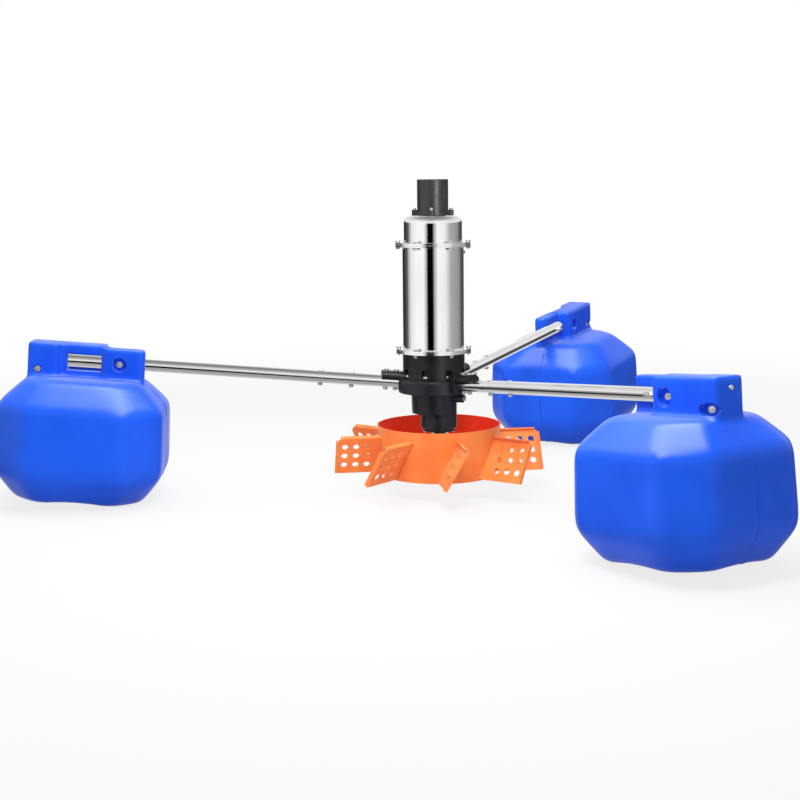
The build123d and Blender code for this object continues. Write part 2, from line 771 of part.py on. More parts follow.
# Dome: a deep-drawn cover of even wall with its own flange
with BuildPart() as motor_dome:
    with BuildSketch(motor_axis.offset(upper_rim_top)):
        Circle(dome_radius)
    extrude(amount=dome_height)
    fillet(motor_dome.edges().filter_by(GeomType.CIRCLE).sort_by(Axis.Z)[-1], dome_round)
    offset(amount=-dome_wall, openings=motor_dome.faces().sort_by(Axis.Z)[0])
    with BuildSketch(motor_axis.offset(upper_rim_top)):
        Circle(flange_radius)
        Circle(dome_radius - dome_wall / 2, mode=Mode.SUBTRACT)
    extrude(amount=flange_thickness)
    with BuildSketch(turned_motor_axis.offset(upper_rim_top)):
        with PolarLocations(flange_bolt_circle, flange_bolt_count):
            Circle(m8[0] + loose_gap)
    extrude(amount=flange_thickness, mode=Mode.SUBTRACT)
    with BuildSketch(turned_motor_axis.offset(dome_top)):
        Circle(dome_hole_radius)
    extrude(amount=-dome_wall, mode=Mode.SUBTRACT)
    with BuildSketch(cap_plane.offset(dome_top)):
        with PolarLocations(cap_ear_circle, cap_screw_count):
            Circle(m6[0] + seat_gap)
    extrude(amount=-dome_wall, mode=Mode.SUBTRACT)
save(motor_dome.part, "motor_dome")

# Bolts and nuts of both flange joints
upper_grip = flange_thickness + upper_shield_rim + flange_thickness
lower_grip = flange_thickness + lower_shield_thickness
flange_joints = (
    (upper_rim_top + flange_thickness, upper_grip),
    (shield_top + flange_thickness, lower_grip),
)
with BuildPart() as flange_bolts:
    for head_level, grip in flange_joints:
        with Locations(turned_motor_axis.offset(head_level)):
            with PolarLocations(flange_bolt_circle, flange_bolt_count):
                add(hex_bolt(m8, upper_grip + m8[3] + bolt_end))
save(flange_bolts.part, "flange_bolts")

with BuildPart() as flange_nuts:
    for head_level, grip in flange_joints:
        with Locations(turned_motor_axis.offset(head_level - grip)):
            with PolarLocations(flange_bolt_circle, flange_bolt_count):
                add(hex_nut(m8))
save(flange_nuts.part, "flange_nuts")

# Cable cap: a round turret on the dome with four ears, and a grommet in its mouth
with BuildPart() as cable_cap:
    with BuildSketch(cap_plane.offset(dome_top)):
        Circle(cap_radius)
    extrude(amount=cap_height)
    fillet(cable_cap.edges().filter_by(GeomType.CIRCLE).sort_by(Axis.Z)[-1], bolt_end)
    with BuildSketch(cap_plane.offset(dome_top)):
        Circle(cap_foot_radius)
    extrude(amount=cap_foot_height)
    with BuildSketch(cap_plane.offset(dome_top)):
        with PolarLocations(cap_ear_circle / 2, cap_screw_count):
            Rectangle(cap_ear_circle, 2 * cap_ear_radius)
        with PolarLocations(cap_ear_circle, cap_screw_count):
            Circle(cap_ear_radius)
    extrude(amount=cap_ear_height)
    with BuildSketch(cap_plane.offset(dome_top)):
        Circle(cap_radius - cap_wall)
    extrude(amount=cap_height - cap_top_thickness, mode=Mode.SUBTRACT)
    with BuildSketch(cap_plane.offset(dome_top)):
        Circle(grommet_radius - cap_wall)
        with PolarLocations(cap_ear_circle, cap_screw_count):
            Circle(m6[0] + loose_gap)
    extrude(amount=cap_height, mode=Mode.SUBTRACT)
    with BuildSketch(cap_plane.offset(cap_top)):
        Circle(grommet_radius + seat_gap)
    extrude(amount=-grommet_height, mode=Mode.SUBTRACT)
save(cable_cap.part, "cable_cap")

with BuildPart() as cap_screws:
    with Locations(cap_plane.offset(dome_top + cap_ear_height)):
        with PolarLocations(cap_ear_circle, cap_screw_count):
            add(cap_screw(m6, cap_ear_height + 2 * dome_wall))
save(cap_screws.part, "cap_screws")

with BuildPart() as cable_grommet:
    with BuildSketch(cap_plane.offset(cap_top - grommet_height)):
        Circle(grommet_radius)
        Circle(cable_radius, mode=Mode.SUBTRACT)
    extrude(amount=grommet_height - end_chamfer)
save(cable_grommet.part, "cable_grommet")

# Impeller: hub and spokes carry a conical drum with inclined perforated blades
drum_slope = (drum_top_radius - drum_bottom_radius) / (drum_top_level - drum_bottom_level)


def drum_radius(level, inwards):
    """Radius of the drum's outer face at a level, less a distance inwards."""
    return drum_bottom_radius + drum_slope * (level - drum_bottom_level) - inwards


def drum_cone(inwards):
    """Solid cone as high as the drum, its side set in from the drum's outer face."""
    with BuildPart() as cone:
        with BuildSketch(Plane.XZ):
            Polygon(
                (0, drum_bottom_level),
                (drum_radius(drum_bottom_level, inwards), drum_bottom_level),
                (drum_radius(drum_top_level, inwards), drum_top_level),
                (0, drum_top_level),
                align=None,
            )
        revolve(axis=Axis.Z)
    return cone.part


with BuildPart() as impeller_drum:
    add(drum_cone(0))
    add(drum_cone(sheet), mode=Mode.SUBTRACT)
save(impeller_drum.part, "impeller_drum")

with BuildPart() as impeller_hub:
    with BuildSketch(Plane.XY.offset(hub_bottom)):
        Circle(hub_radius)
        Circle(output_shaft_radius + seat_gap, mode=Mode.SUBTRACT)
        with Locations((0, output_shaft_radius)):
            Rectangle(key_width + 2 * seat_gap, key_height + 2 * seat_gap, mode=Mode.SUBTRACT)
    extrude(amount=hub_height)
    chamfer(impeller_hub.faces().sort_by(Axis.Z)[0].outer_wire().edges(), end_chamfer)
    chamfer(impeller_hub.faces().sort_by(Axis.Z)[-1].outer_wire().edges(), end_chamfer)
    for level in set_screw_levels:
        with BuildSketch(set_screw_plane):
            with Locations((0, level)):
                Circle(m8[0] + seat_gap)
        extrude(amount=hub_radius, mode=Mode.SUBTRACT)
save(impeller_hub.part, "impeller_hub")

with BuildPart() as hub_set_screws:
    for level in set_screw_levels:
        with BuildSketch(set_screw_plane.offset(output_shaft_radius + seat_gap)):
            with Locations((0, level)):
                Circle(m8[0])
        extrude(amount=set_screw_length)
save(hub_set_screws.part, "hub_set_screws")

with BuildPart() as hub_key:
    with BuildSketch(Plane.XY.offset(hub_bottom)):
        with Locations((0, output_shaft_radius)):
            Rectangle(key_width, key_height)
    extrude(amount=key_length)
save(hub_key.part, "hub_key")

with BuildPart() as impeller_spokes:
    with BuildSketch(Plane.XY.offset(spoke_bottom)):
        with PolarLocations(drum_top_radius / 2, spoke_count):
            Rectangle(drum_top_radius, spoke_thickness)
        Circle(hub_radius + seat_gap, mode=Mode.SUBTRACT)
    extrude(amount=spoke_height)
    add(drum_cone(sheet + seat_gap), mode=Mode.INTERSECT)
save(impeller_spokes.part, "impeller_spokes")

# One blade in the XZ direction: plate, folded lips and holes, cut to the drum's side
blade_root = drum_bottom_radius - sheet
blade_middle = blade_bottom_level + blade_length * cos(radians(blade_tilt)) / 2
blade_plane = Plane(
    origin=(0, 0, blade_middle),
    x_dir=(1, 0, 0),
    z_dir=(0, -cos(radians(blade_tilt)), sin(radians(blade_tilt))),
)
with BuildPart() as blade:
    with BuildSketch(blade_plane) as plate:
        with Locations(((blade_root + blade_tip_radius) / 2, 0)):
            Rectangle(blade_tip_radius - blade_root, blade_length)
        chamfer(plate.vertices().group_by(Axis.X)[-1].sort_by(Axis.Y)[-1], blade_corner)
        hole_middle = blade_tip_radius - blade_hole_edge - blade_hole_pitch
        with Locations((hole_middle, 0)):
            with GridLocations(blade_hole_pitch, blade_hole_pitch, blade_hole_count, blade_hole_count):
                Circle(blade_hole_radius, mode=Mode.SUBTRACT)
    extrude(amount=sheet)
    with BuildSketch(blade_plane.offset(sheet)):
        with Locations((blade_tip_radius - blade_corner, blade_length / 2)):
            Rectangle(blade_tip_radius - blade_corner - blade_root, sheet, align=(Align.MAX, Align.MAX))
        with Locations((blade_tip_radius, blade_length / 2 - blade_corner)):
            Rectangle(sheet, blade_length - blade_corner, align=(Align.MAX, Align.MAX))
    extrude(amount=blade_lip - sheet)
    add(drum_cone(-seat_gap), mode=Mode.SUBTRACT)

for number in range(blade_count):
    with BuildPart() as placed_blade:
        with PolarLocations(0, 1, start_angle=blade_start + number * 360 / blade_count):
            add(blade.part)
    save(placed_blade.part, f"blade_{number + 1}")

# Arm: a tube with a joining sleeve in its root, built along X and placed on each arm
tube_end = float_reach + tube_end_past_float
with BuildPart() as arm_tube:
    with BuildSketch(along_arm.offset(tube_start)):
        Circle(tube_radius)
        Circle(tube_radius - tube_wall, mode=Mode.SUBTRACT)
    extrude(amount=tube_end - tube_start)
    with BuildSketch(Plane.XY.offset(-tube_radius)):
        with Locations(*[(reach, 0) for reach in saddle_bolt_reaches + sleeve_bolt_reaches]):
            Circle(m8[0] + seat_gap)
    extrude(amount=2 * tube_radius, mode=Mode.SUBTRACT)
    with BuildSketch(Plane.XZ.offset(-tube_radius)):
        with Locations((float_reach + inner_bolt_place, 0)):
            Circle(m10[0] + seat_gap)
    extrude(amount=2 * tube_radius, mode=Mode.SUBTRACT)
    with BuildSketch(Plane.XZ):
        with Locations((float_reach + middle_bolt_place, 0)):
            Circle(m10[0] + seat_gap)
    extrude(amount=tube_radius, mode=Mode.SUBTRACT)

sleeve_radius = tube_radius - tube_wall - seat_gap
with BuildPart() as arm_sleeve:
    with BuildSketch(along_arm.offset(sleeve_start)):
        Circle(sleeve_radius)
        Circle(sleeve_radius - sleeve_wall, mode=Mode.SUBTRACT)
    extrude(amount=sleeve_end - sleeve_start)
    with BuildSketch(Plane.XY.offset(-tube_radius)):
        with Locations(*[(reach, 0) for reach in saddle_bolt_reaches + sleeve_bolt_reaches]):
            Circle(m8[0] + seat_gap)
    extrude(amount=2 * tube_radius, mode=Mode.SUBTRACT)

with BuildPart() as sleeve_bolt:
    with BuildSketch():
        Circle(button_radius)
    extrude(amount=button_height)
    fillet(sleeve_bolt.edges().sort_by(Axis.Z)[-1], button_height / 2)
    with BuildSketch():
        Circle(m8[0])
    extrude(amount=-2 * tube_radius - m8[3] - bolt_end)


def float_form(inset):
    """Body of a float, its faces set in by a distance, with hollows between its four feet."""
    top, foot = float_levels[0][0], float_levels[-1][0]
    sections = []
    for level, half_length, rounding in float_levels:
        height = min(max(level, foot + inset), top - inset)
        sections.append((height, half_length, rounding - inset))
    with BuildPart() as form:
        for pair in zip(sections, sections[1:]):
            for height, half_length, rounding in pair:
                with BuildSketch(Plane.XY.offset(height)) as outline:
                    Rectangle(2 * (half_length - inset), 2 * (half_length - float_narrower - inset))
                    chamfer(outline.vertices(), half_length * float_corner_share)
                    fillet(outline.vertices(), half_length * float_corner_round_share)
            loft(ruled=True)
        for height, half_length, rounding in sections:
            rim = form.edges().filter_by_position(Axis.Z, height - seat_gap, height + seat_gap)
            fillet(rim, rounding)
        hollow_level = foot + foot_hollow_depth - foot_hollow_radius
        for direction in (Plane.YZ, Plane.XZ):
            with BuildSketch(direction.offset(-float_width)):
                with Locations((0, hollow_level)):
                    Circle(foot_hollow_radius + inset)
            extrude(amount=2 * float_width, mode=Mode.SUBTRACT)
    return form.part


# Bracket on top of a float: a block left of the tube, a wall right of it, a full block outside
with BuildPart() as bracket:
    with BuildSketch(Plane.XY.offset(bracket_root)) as outline:
        Polygon(
            (-bracket_half_length, 0),
            (-bracket_half_length, bracket_half_width),
            (bracket_block_end, bracket_half_width),
            (bracket_block_end, bracket_recess_width),
            (bracket_recess_end, bracket_recess_width),
            (bracket_recess_end, bracket_half_width),
            (bracket_half_length, bracket_half_width),
            (bracket_half_length, -bracket_half_width),
            (bracket_wall_start, -bracket_half_width),
            (bracket_wall_start, 0),
            align=None,
        )
        between_ends = outline.vertices().group_by(Axis.X)[1:-1]
        fillet([corner for group in between_ends for corner in group], bracket_round)
        corners = outline.vertices().group_by(Axis.X)
        fillet(corners[0] + corners[-1], bracket_end_round)
    extrude(amount=bracket_top - bracket_root)
    fillet(bracket.faces().filter_by(Plane.XY).sort_by(Axis.Z)[-1].edges(), bracket_top_round)
    with BuildSketch(Plane.XY.offset(bracket_block_top)):
        with Locations((bracket_block_end, 0)):
            Rectangle(bracket_half_length, 4 * bracket_half_width, align=(Align.MAX, Align.CENTER))
    extrude(amount=bracket_top - bracket_block_top, mode=Mode.SUBTRACT)

# Float: a hollow blow-moulded body whose bracket grips the end of the arm tube
with BuildPart() as pond_float:
    add(float_form(0))
    add(bracket.part)
    add(float_form(float_wall), mode=Mode.SUBTRACT)
    with BuildSketch(along_arm.offset(-bracket_half_length - seat_gap)):
        Circle(tube_radius + loose_gap)
    extrude(amount=bracket_half_length + tube_end_past_float + loose_gap + seat_gap, mode=Mode.SUBTRACT)
    with BuildSketch(Plane.XZ.offset(-bracket_half_width)):
        with Locations(((window_start + window_end) / 2, (window_bottom + window_top) / 2)):
            Rectangle(window_end - window_start, window_top - window_bottom)
    extrude(amount=bracket_half_width + loose_gap, mode=Mode.SUBTRACT)
    # Pockets for the bolt heads on the left of the arm, and for nuts and heads on its right
    for place, level, radius, depth in (
        (inner_bolt_place, 0, inner_pocket_radius, pocket_depth),
        (outer_bolt_place, -outer_bolt_drop, outer_pocket_radius, outer_pocket_depth),
    ):
        with BuildSketch(Plane.XZ.offset(-bracket_half_width)):
            with Locations((place, level)):
                Circle(radius)
        extrude(amount=depth, mode=Mode.SUBTRACT)
        with BuildSketch(Plane.XZ.offset(-bracket_half_width)):
            with Locations((place, level)):
                Circle(m10[0] + loose_gap)
        extrude(amount=2 * bracket_half_width, mode=Mode.SUBTRACT)
    with BuildSketch(Plane.XZ.offset(bracket_half_width)):
        with Locations((middle_bolt_place, 0)):
            Circle(middle_pocket_radius)
        with Locations((outer_bolt_place, -outer_bolt_drop)):
            SlotOverall(slot_length, slot_height)
    extrude(amount=-pocket_depth, mode=Mode.SUBTRACT)
    with BuildSketch(Plane.XZ.offset(bracket_half_width)):
        with Locations((middle_bolt_place, 0)):
            Circle(m10[0] + loose_gap)
    extrude(amount=-bracket_half_width, mode=Mode.SUBTRACT)
    with BuildSketch(along_arm.offset(bracket_half_length)):
        with Locations((0, plug_level)):
            Circle(plug_radius - bolt_end + seat_gap)
    extrude(amount=-plug_depth - bolt_end, mode=Mode.SUBTRACT)

with BuildPart() as float_plug:
    with BuildSketch(along_arm.offset(bracket_half_length)):
        with Locations((0, plug_level)):
            Circle(plug_radius)
    extrude(amount=plug_head)
    with BuildSketch(along_arm.offset(bracket_half_length)):
        with Locations((0, plug_level)):
            Circle(plug_radius - bolt_end)
    extrude(amount=-plug_depth)

# Seats of the float bolts across the arm, left of the tube positive
inner_seat = bracket_half_width - pocket_depth
outer_seat = bracket_half_width - outer_pocket_depth
with BuildPart() as one_float_bolts:
    with Locations(Location((inner_bolt_place, inner_seat, 0), (-90, 0, 0))):
        add(hex_bolt(m10, inner_seat + tube_radius + m10[3] + bolt_end))
    with Locations(Location((outer_bolt_place, outer_seat, -outer_bolt_drop), (-90, 0, 0))):
        add(hex_bolt(m10, outer_seat + inner_seat + m10[3] + bolt_end))
    with Locations(Location((middle_bolt_place, -inner_seat, 0), (90, 0, 0))):
        add(hex_bolt(m10, inner_seat - tube_radius + 2 * tube_wall + bolt_end))

with BuildPart() as one_float_nuts:
    with Locations(Location((inner_bolt_place, -tube_radius - running_fit, 0), (-90, 0, 0))):
        add(hex_nut(m10))
    with Locations(Location((outer_bolt_place, -inner_seat, -outer_bolt_drop), (-90, 0, 0))):
        add(hex_nut(m10))

# The pieces of every arm, one node each for the tubes and floats, one for each kind of fastener
for number, frame in enumerate(arm_frames, start=1):
    with BuildPart() as placed_tube:
        with Locations(frame):
            add(arm_tube.part)
    save(placed_tube.part, f"arm_tube_{number}")
    with BuildPart() as placed_float:
        with Locations(frame):
            with Locations((float_reach, 0, 0)):
                add(pond_float.part)
    save(placed_float.part, f"float_{number}")

with BuildPart() as arm_sleeves:
    with Locations(*arm_frames):
        add(arm_sleeve.part)
save(arm_sleeves.part, "arm_sleeves")

with BuildPart() as saddle_bolts:
    with Locations(*arm_frames):
        with Locations(*[(reach, 0, saddle_top) for reach in saddle_bolt_reaches]):
            add(hex_bolt(m8, saddle_top + tube_radius + m8[3] + bolt_end))
save(saddle_bolts.part, "saddle_bolts")

with BuildPart() as sleeve_bolts:
    with Locations(*arm_frames):
        with Locations(*[(reach, 0, tube_radius) for reach in sleeve_bolt_reaches]):
            add(sleeve_bolt.part)
save(sleeve_bolts.part, "sleeve_bolts")

with BuildPart() as arm_nuts:
    with Locations(*arm_frames):
        nut_level = -tube_radius - running_fit
        with Locations(*[(reach, 0, nut_level) for reach in saddle_bolt_reaches + sleeve_bolt_reaches]):
            add(hex_nut(m8))
save(arm_nuts.part, "arm_nuts")

float_groups = (
    (one_float_bolts, "float_bolts"),
    (one_float_nuts, "float_nuts"),
    (float_plug, "float_plugs"),
)
for group, name in float_groups:
    with BuildPart() as placed_group:
        with Locations(*arm_frames):
            with Locations((float_reach, 0, 0)):
                add(group.part)
    save(placed_group.part, name)
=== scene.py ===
"""Dressed scene of a floating impeller aerator, in metres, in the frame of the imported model."""

import json
from math import cos, pi, radians, sin, sqrt
from random import Random

import bmesh
import bpy
from mathutils import Euler, Matrix, Vector

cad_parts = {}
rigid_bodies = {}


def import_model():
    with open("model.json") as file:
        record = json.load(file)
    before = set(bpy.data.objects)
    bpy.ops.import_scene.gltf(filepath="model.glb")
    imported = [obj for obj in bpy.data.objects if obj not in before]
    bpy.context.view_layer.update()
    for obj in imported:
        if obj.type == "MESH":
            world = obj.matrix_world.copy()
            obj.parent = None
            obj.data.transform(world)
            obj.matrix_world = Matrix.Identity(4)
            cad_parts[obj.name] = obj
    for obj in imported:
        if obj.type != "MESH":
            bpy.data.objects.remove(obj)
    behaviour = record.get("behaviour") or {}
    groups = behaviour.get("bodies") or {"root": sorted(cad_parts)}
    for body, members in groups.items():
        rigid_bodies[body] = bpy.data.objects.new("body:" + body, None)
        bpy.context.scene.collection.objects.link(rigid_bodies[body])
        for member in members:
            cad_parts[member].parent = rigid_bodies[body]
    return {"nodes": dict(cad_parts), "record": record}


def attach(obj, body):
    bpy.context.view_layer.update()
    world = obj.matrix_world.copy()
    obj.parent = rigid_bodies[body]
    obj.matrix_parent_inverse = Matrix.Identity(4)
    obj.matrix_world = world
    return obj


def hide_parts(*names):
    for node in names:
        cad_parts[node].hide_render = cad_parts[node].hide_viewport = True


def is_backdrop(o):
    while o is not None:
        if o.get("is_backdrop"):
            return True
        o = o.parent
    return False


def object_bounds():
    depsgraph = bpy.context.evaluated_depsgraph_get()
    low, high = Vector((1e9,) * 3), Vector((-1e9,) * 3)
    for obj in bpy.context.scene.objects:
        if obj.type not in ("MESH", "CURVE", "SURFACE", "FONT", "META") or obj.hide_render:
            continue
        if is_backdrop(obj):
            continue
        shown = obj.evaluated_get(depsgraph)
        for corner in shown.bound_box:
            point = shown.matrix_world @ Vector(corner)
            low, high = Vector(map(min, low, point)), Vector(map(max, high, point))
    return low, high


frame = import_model()
cad_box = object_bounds()

# Camera, set from the photograph: it stands in front of the hub, turned against the arms
HUB_LEVEL = 0.262
VIEW_TURN = radians(-4.4)
CAMERA_DISTANCE = 4.868
CAMERA_RISE = radians(7.885)
LOOK_DOWN = radians(8.452)
LOOK_LEFT = radians(1.46)
CAMERA_ROLL = radians(-0.6)
FOCAL_SHARE = 1538 / 800

# Floor and background. The camera sees the floor as part white, all white beyond the fade
WHITE = (1.0, 1.0, 1.0, 1.0)
FLOOR_SIZE = 60.0
FLOOR_COLOUR = (0.62, 0.62, 0.62, 1.0)
FLOOR_GLOW = 0.80
FLOOR_FADE = (1.8, 4.5)
WORLD_LIGHT = 0.58

# Lamps: place to the right of, behind and above the hub's foot, size of the face, and watts. The
# strip lights only the black pieces, and the sheen only the floats
LAMPS = (
    ("lamp_above", (0.0, -0.1, 3.0), 2.8, 58.0),
    ("lamp_front", (-0.1, -1.5, 1.9), 0.8, 32.0),
    ("lamp_left", (-1.5, 0.3, 2.2), 1.5, 18.0),
)
STRIP_PLACE = (1.2, -2.1, 0.80)
STRIP_SIZE = (0.55, 1.2)
STRIP_POWER = 22.0
SHEEN_PLACE = (0.0, 0.0, 3.0)
SHEEN_SIZE = (2.4, 2.4)
SHEEN_POWER = 175.0

# Studio that gloss shows: grey levels by the bearing from the camera, to the right, in degrees.
# The upper flags show in upright steel, and the lower ones draw the dark line along the arms
UPPER_FLAGS = (
    (-180, 0.90), (-167, 0.85), (-158, 0.03), (-136, 0.03), (-112, 0.12), (-104, 0.45),
    (-90, 0.85), (-66, 1.0), (-36, 1.0), (-24, 0.40), (-20, 0.0), (-1, 0.0), (4, 0.35),
    (18, 1.0), (46, 0.92), (70, 0.42), (108, 0.32), (128, 0.10), (158, 0.03), (167, 0.85),
    (180, 0.90),
)
LOWER_FLAGS = (
    (-180, 0.95), (-136, 0.90), (-126, 0.04), (-102, 0.02), (-90, 0.80), (-60, 1.0),
    (-30, 0.95), (-22, 0.0), (12, 0.0), (22, 0.95), (70, 0.80), (104, 0.60), (118, 0.05),
    (141, 0.05), (152, 0.90), (180, 0.95),
)
# By the sine of the height: how far the lower flags replace the upper ones, the grey level over
# both, and how strongly the flags show
LOWER_SHARE = ((-1.0, 1.0), (-0.175, 1.0), (-0.155, 0.0), (1.0, 0.0))
HEIGHT_LEVELS = (
    (-1.0, 0.55), (-0.40, 0.84), (-0.20, 1.0), (0.30, 1.0), (0.60, 0.80), (0.85, 0.40),
    (1.0, 0.25),
)
FLAG_SHARE = ((-1.0, 0.35), (-0.50, 0.55), (-0.42, 1.0), (0.05, 1.0), (0.14, 0.15), (1.0, 0.15))
BEARINGS = (-pi, pi)
SINES = (-1, 1)

# Floats, measured from the middle of a float on the axis of its arm tube: along the arm, to its
# left and upwards. Each level of the body gives a height and the half length there
FLOAT_NUMBERS = (1, 2, 3)
HUB_TO_FLOAT = 1.100
ARM_RISE = radians(4.8)
FIRST_ARM = radians(60)
FLOAT_LEVELS = ((-0.048, 0.172), (-0.124, 0.252), (-0.332, 0.259), (-0.424, 0.194))
FLOAT_NARROWER = 0.014
FLOAT_CORNER_SHARE = 0.40
FLOAT_MIDDLE = Vector((0, 0, -0.23))
FLOAT_CRISPNESS = 36
HOLLOW_RADIUS = 0.400
HOLLOW_DEPTH = 0.009
HOLLOW_BLEND = 0.006
VOXEL = 0.0055
SMOOTH_TURNS = 18

# Bracket on a float. Each block of it, seen from above: its corners of least and of greatest x
# and y, the radius that rounds its upright edges, and its top. They are the block left of the
# tube, the recessed middle, the outer end, and the wall right of the tube
BRACKET_ROOT = -0.090
BRACKET_SIDE = 0.048
BRACKET_BLOCKS = (
    ((-0.180, 0.0), (-0.051, BRACKET_SIDE), 0.014, 0.050),
    ((-0.060, -0.020), (0.100, 0.030), 0.004, 0.055),
    ((0.082, -BRACKET_SIDE), (0.180, BRACKET_SIDE), 0.014, 0.055),
    ((-0.060, -BRACKET_SIDE), (0.140, 0.0), 0.009, 0.055),
)

# Openings of a bracket: places along the arm and upwards, radii, and distances from the upright
# plane of the arm. A cutter that leaves the bracket ends at CUT_END or CUT_SIDE
TUBE_RADIUS = 0.019
GAP = 0.0003
BORE_END = 0.1603
WINDOW = ((-0.046, -0.028), (0.059, 0.025))
WINDOW_ROUND = 0.003
INNER_BOLT = (-0.102, 0.0)
MIDDLE_BOLT = (-0.010, 0.0)
OUTER_BOLT = (0.147, -0.027)
INNER_POCKET = 0.022
MIDDLE_POCKET = 0.026
OUTER_POCKET = 0.013
OUTER_SLOT = (0.062, 0.034)
POCKET_FLOOR = 0.030
OUTER_POCKET_FLOOR = 0.040
BOLT_HOLE = 0.0053
BOLT_HOLE_START = 0.060
PLUG_LEVEL = 0.026
PLUG_HOLE = 0.0043
PLUG_HOLE_END = 0.168
HOLE_SIDES = 20
CUT_END = 0.200
CUT_SIDE = 0.070

# Parting ridge: where it starts and how far it runs, in degrees from the horizontal at the
# outer end of the float, down and round under it
RIDGE_START = 38
RIDGE_SWEEP = 256
RIDGE_STEPS = 90
RIDGE_WIDTH = 0.0036
RIDGE_HEIGHT = 0.0009

# Middle and outside of the drum's sheet, as a radius at the height of the origin and its growth
# with height, and the height where the cover stands on the gear case
DRUM_FOOT = 0.1800
DRUM_OUTSIDE = 0.1815
DRUM_SLOPE = 17 / 160
DRUM_LOW = -0.022
DRUM_HIGH = 0.136
COVER_BASE = 0.2815

# Blades, and the welds that hold them
BLADE_COUNT = 8
BLADE_START = radians(5.6)
BLADE_TILT = radians(30)
BLADE_LENGTH = 0.140
BLADE_MIDDLE = 0.0426
SEAM_AZIMUTH = radians(208)
WELD_REACH = 0.49
WELD_STEPS = 46
WELD_OFFSET = 0.0022
WELD_RADIUS = 0.0024
WELD_SIDES = 8
WELD_RIPPLE = 0.16
WELD_UNEVENNESS = 0.12
WELD_SEED = 5

# Colours of the finishes, each from its darker to its lighter shade
BLACK_PLASTIC = ((0.011, 0.011, 0.012), (0.018, 0.018, 0.019))
RUBBER = ((0.016, 0.016, 0.016), (0.030, 0.030, 0.030))
GASKET = ((0.08, 0.08, 0.07), (0.13, 0.13, 0.11))
POLISHED_STEEL = ((0.88, 0.88, 0.89), (0.95, 0.95, 0.95))
FASTENER_STEEL = ((0.62, 0.61, 0.62), (0.80, 0.79, 0.79))
MACHINED_STEEL = ((0.42, 0.42, 0.44), (0.62, 0.62, 0.64))
CASE_PAINT = ((0.007, 0.008, 0.012), (0.014, 0.016, 0.023))
COVER_PAINT = ((0.005, 0.004, 0.003), (0.011, 0.009, 0.007))
ORANGE_OUTSIDE = ((0.97, 0.205, 0.038), (1.0, 0.290, 0.070))
# The drum's inside is drawn in a deeper red than its outside. This is painted shade: both sides
# carry the same orange paint
ORANGE_PAINTED_SHADE_INSIDE = ((0.97, 0.028, 0.002), (1.0, 0.048, 0.004))
FLOAT_BLUE = ((0.003, 0.080, 0.69), (0.006, 0.106, 0.83))
SHEET_EDGES = ((0.20, 0.20, 0.22), (0.42, 0.42, 0.45))
COPPER_WIRE = ((0.32, 0.10, 0.04), (0.72, 0.30, 0.14))

# Edges stay sharp on a float's skin, and on the small new pieces, from these angles on
SKIN_SHARP = radians(32)
PIECE_SHARP = radians(75)
# Values of a noise between which roughness and colour go from one end to the other
NOISE_RANGE = (0.3, 0.7)
BLEND_RANGE = (0.35, 0.65)


def from_view(x, y, z):
    """Point of the model's frame, given to the right of, behind and above the hub's foot."""
    return Matrix.Rotation(VIEW_TURN, 4, "Z") @ Vector((x, y, z))


def make_camera():
    """Camera at the photograph's viewing angle."""
    data = bpy.data.cameras.new("camera")
    data.sensor_width = 36.0
    data.lens = FOCAL_SHARE * data.sensor_width
    camera = bpy.data.objects.new("camera", data)
    bpy.context.scene.collection.objects.link(camera)
    back = CAMERA_DISTANCE * cos(CAMERA_RISE)
    camera.location = from_view(0, -back, HUB_LEVEL + CAMERA_DISTANCE * sin(CAMERA_RISE))
    turn = Euler((pi / 2 - LOOK_DOWN, 0, VIEW_TURN + LOOK_LEFT)).to_matrix()
    camera.rotation_euler = (turn @ Matrix.Rotation(CAMERA_ROLL, 3, "Z")).to_euler()
    bpy.context.scene.camera = camera


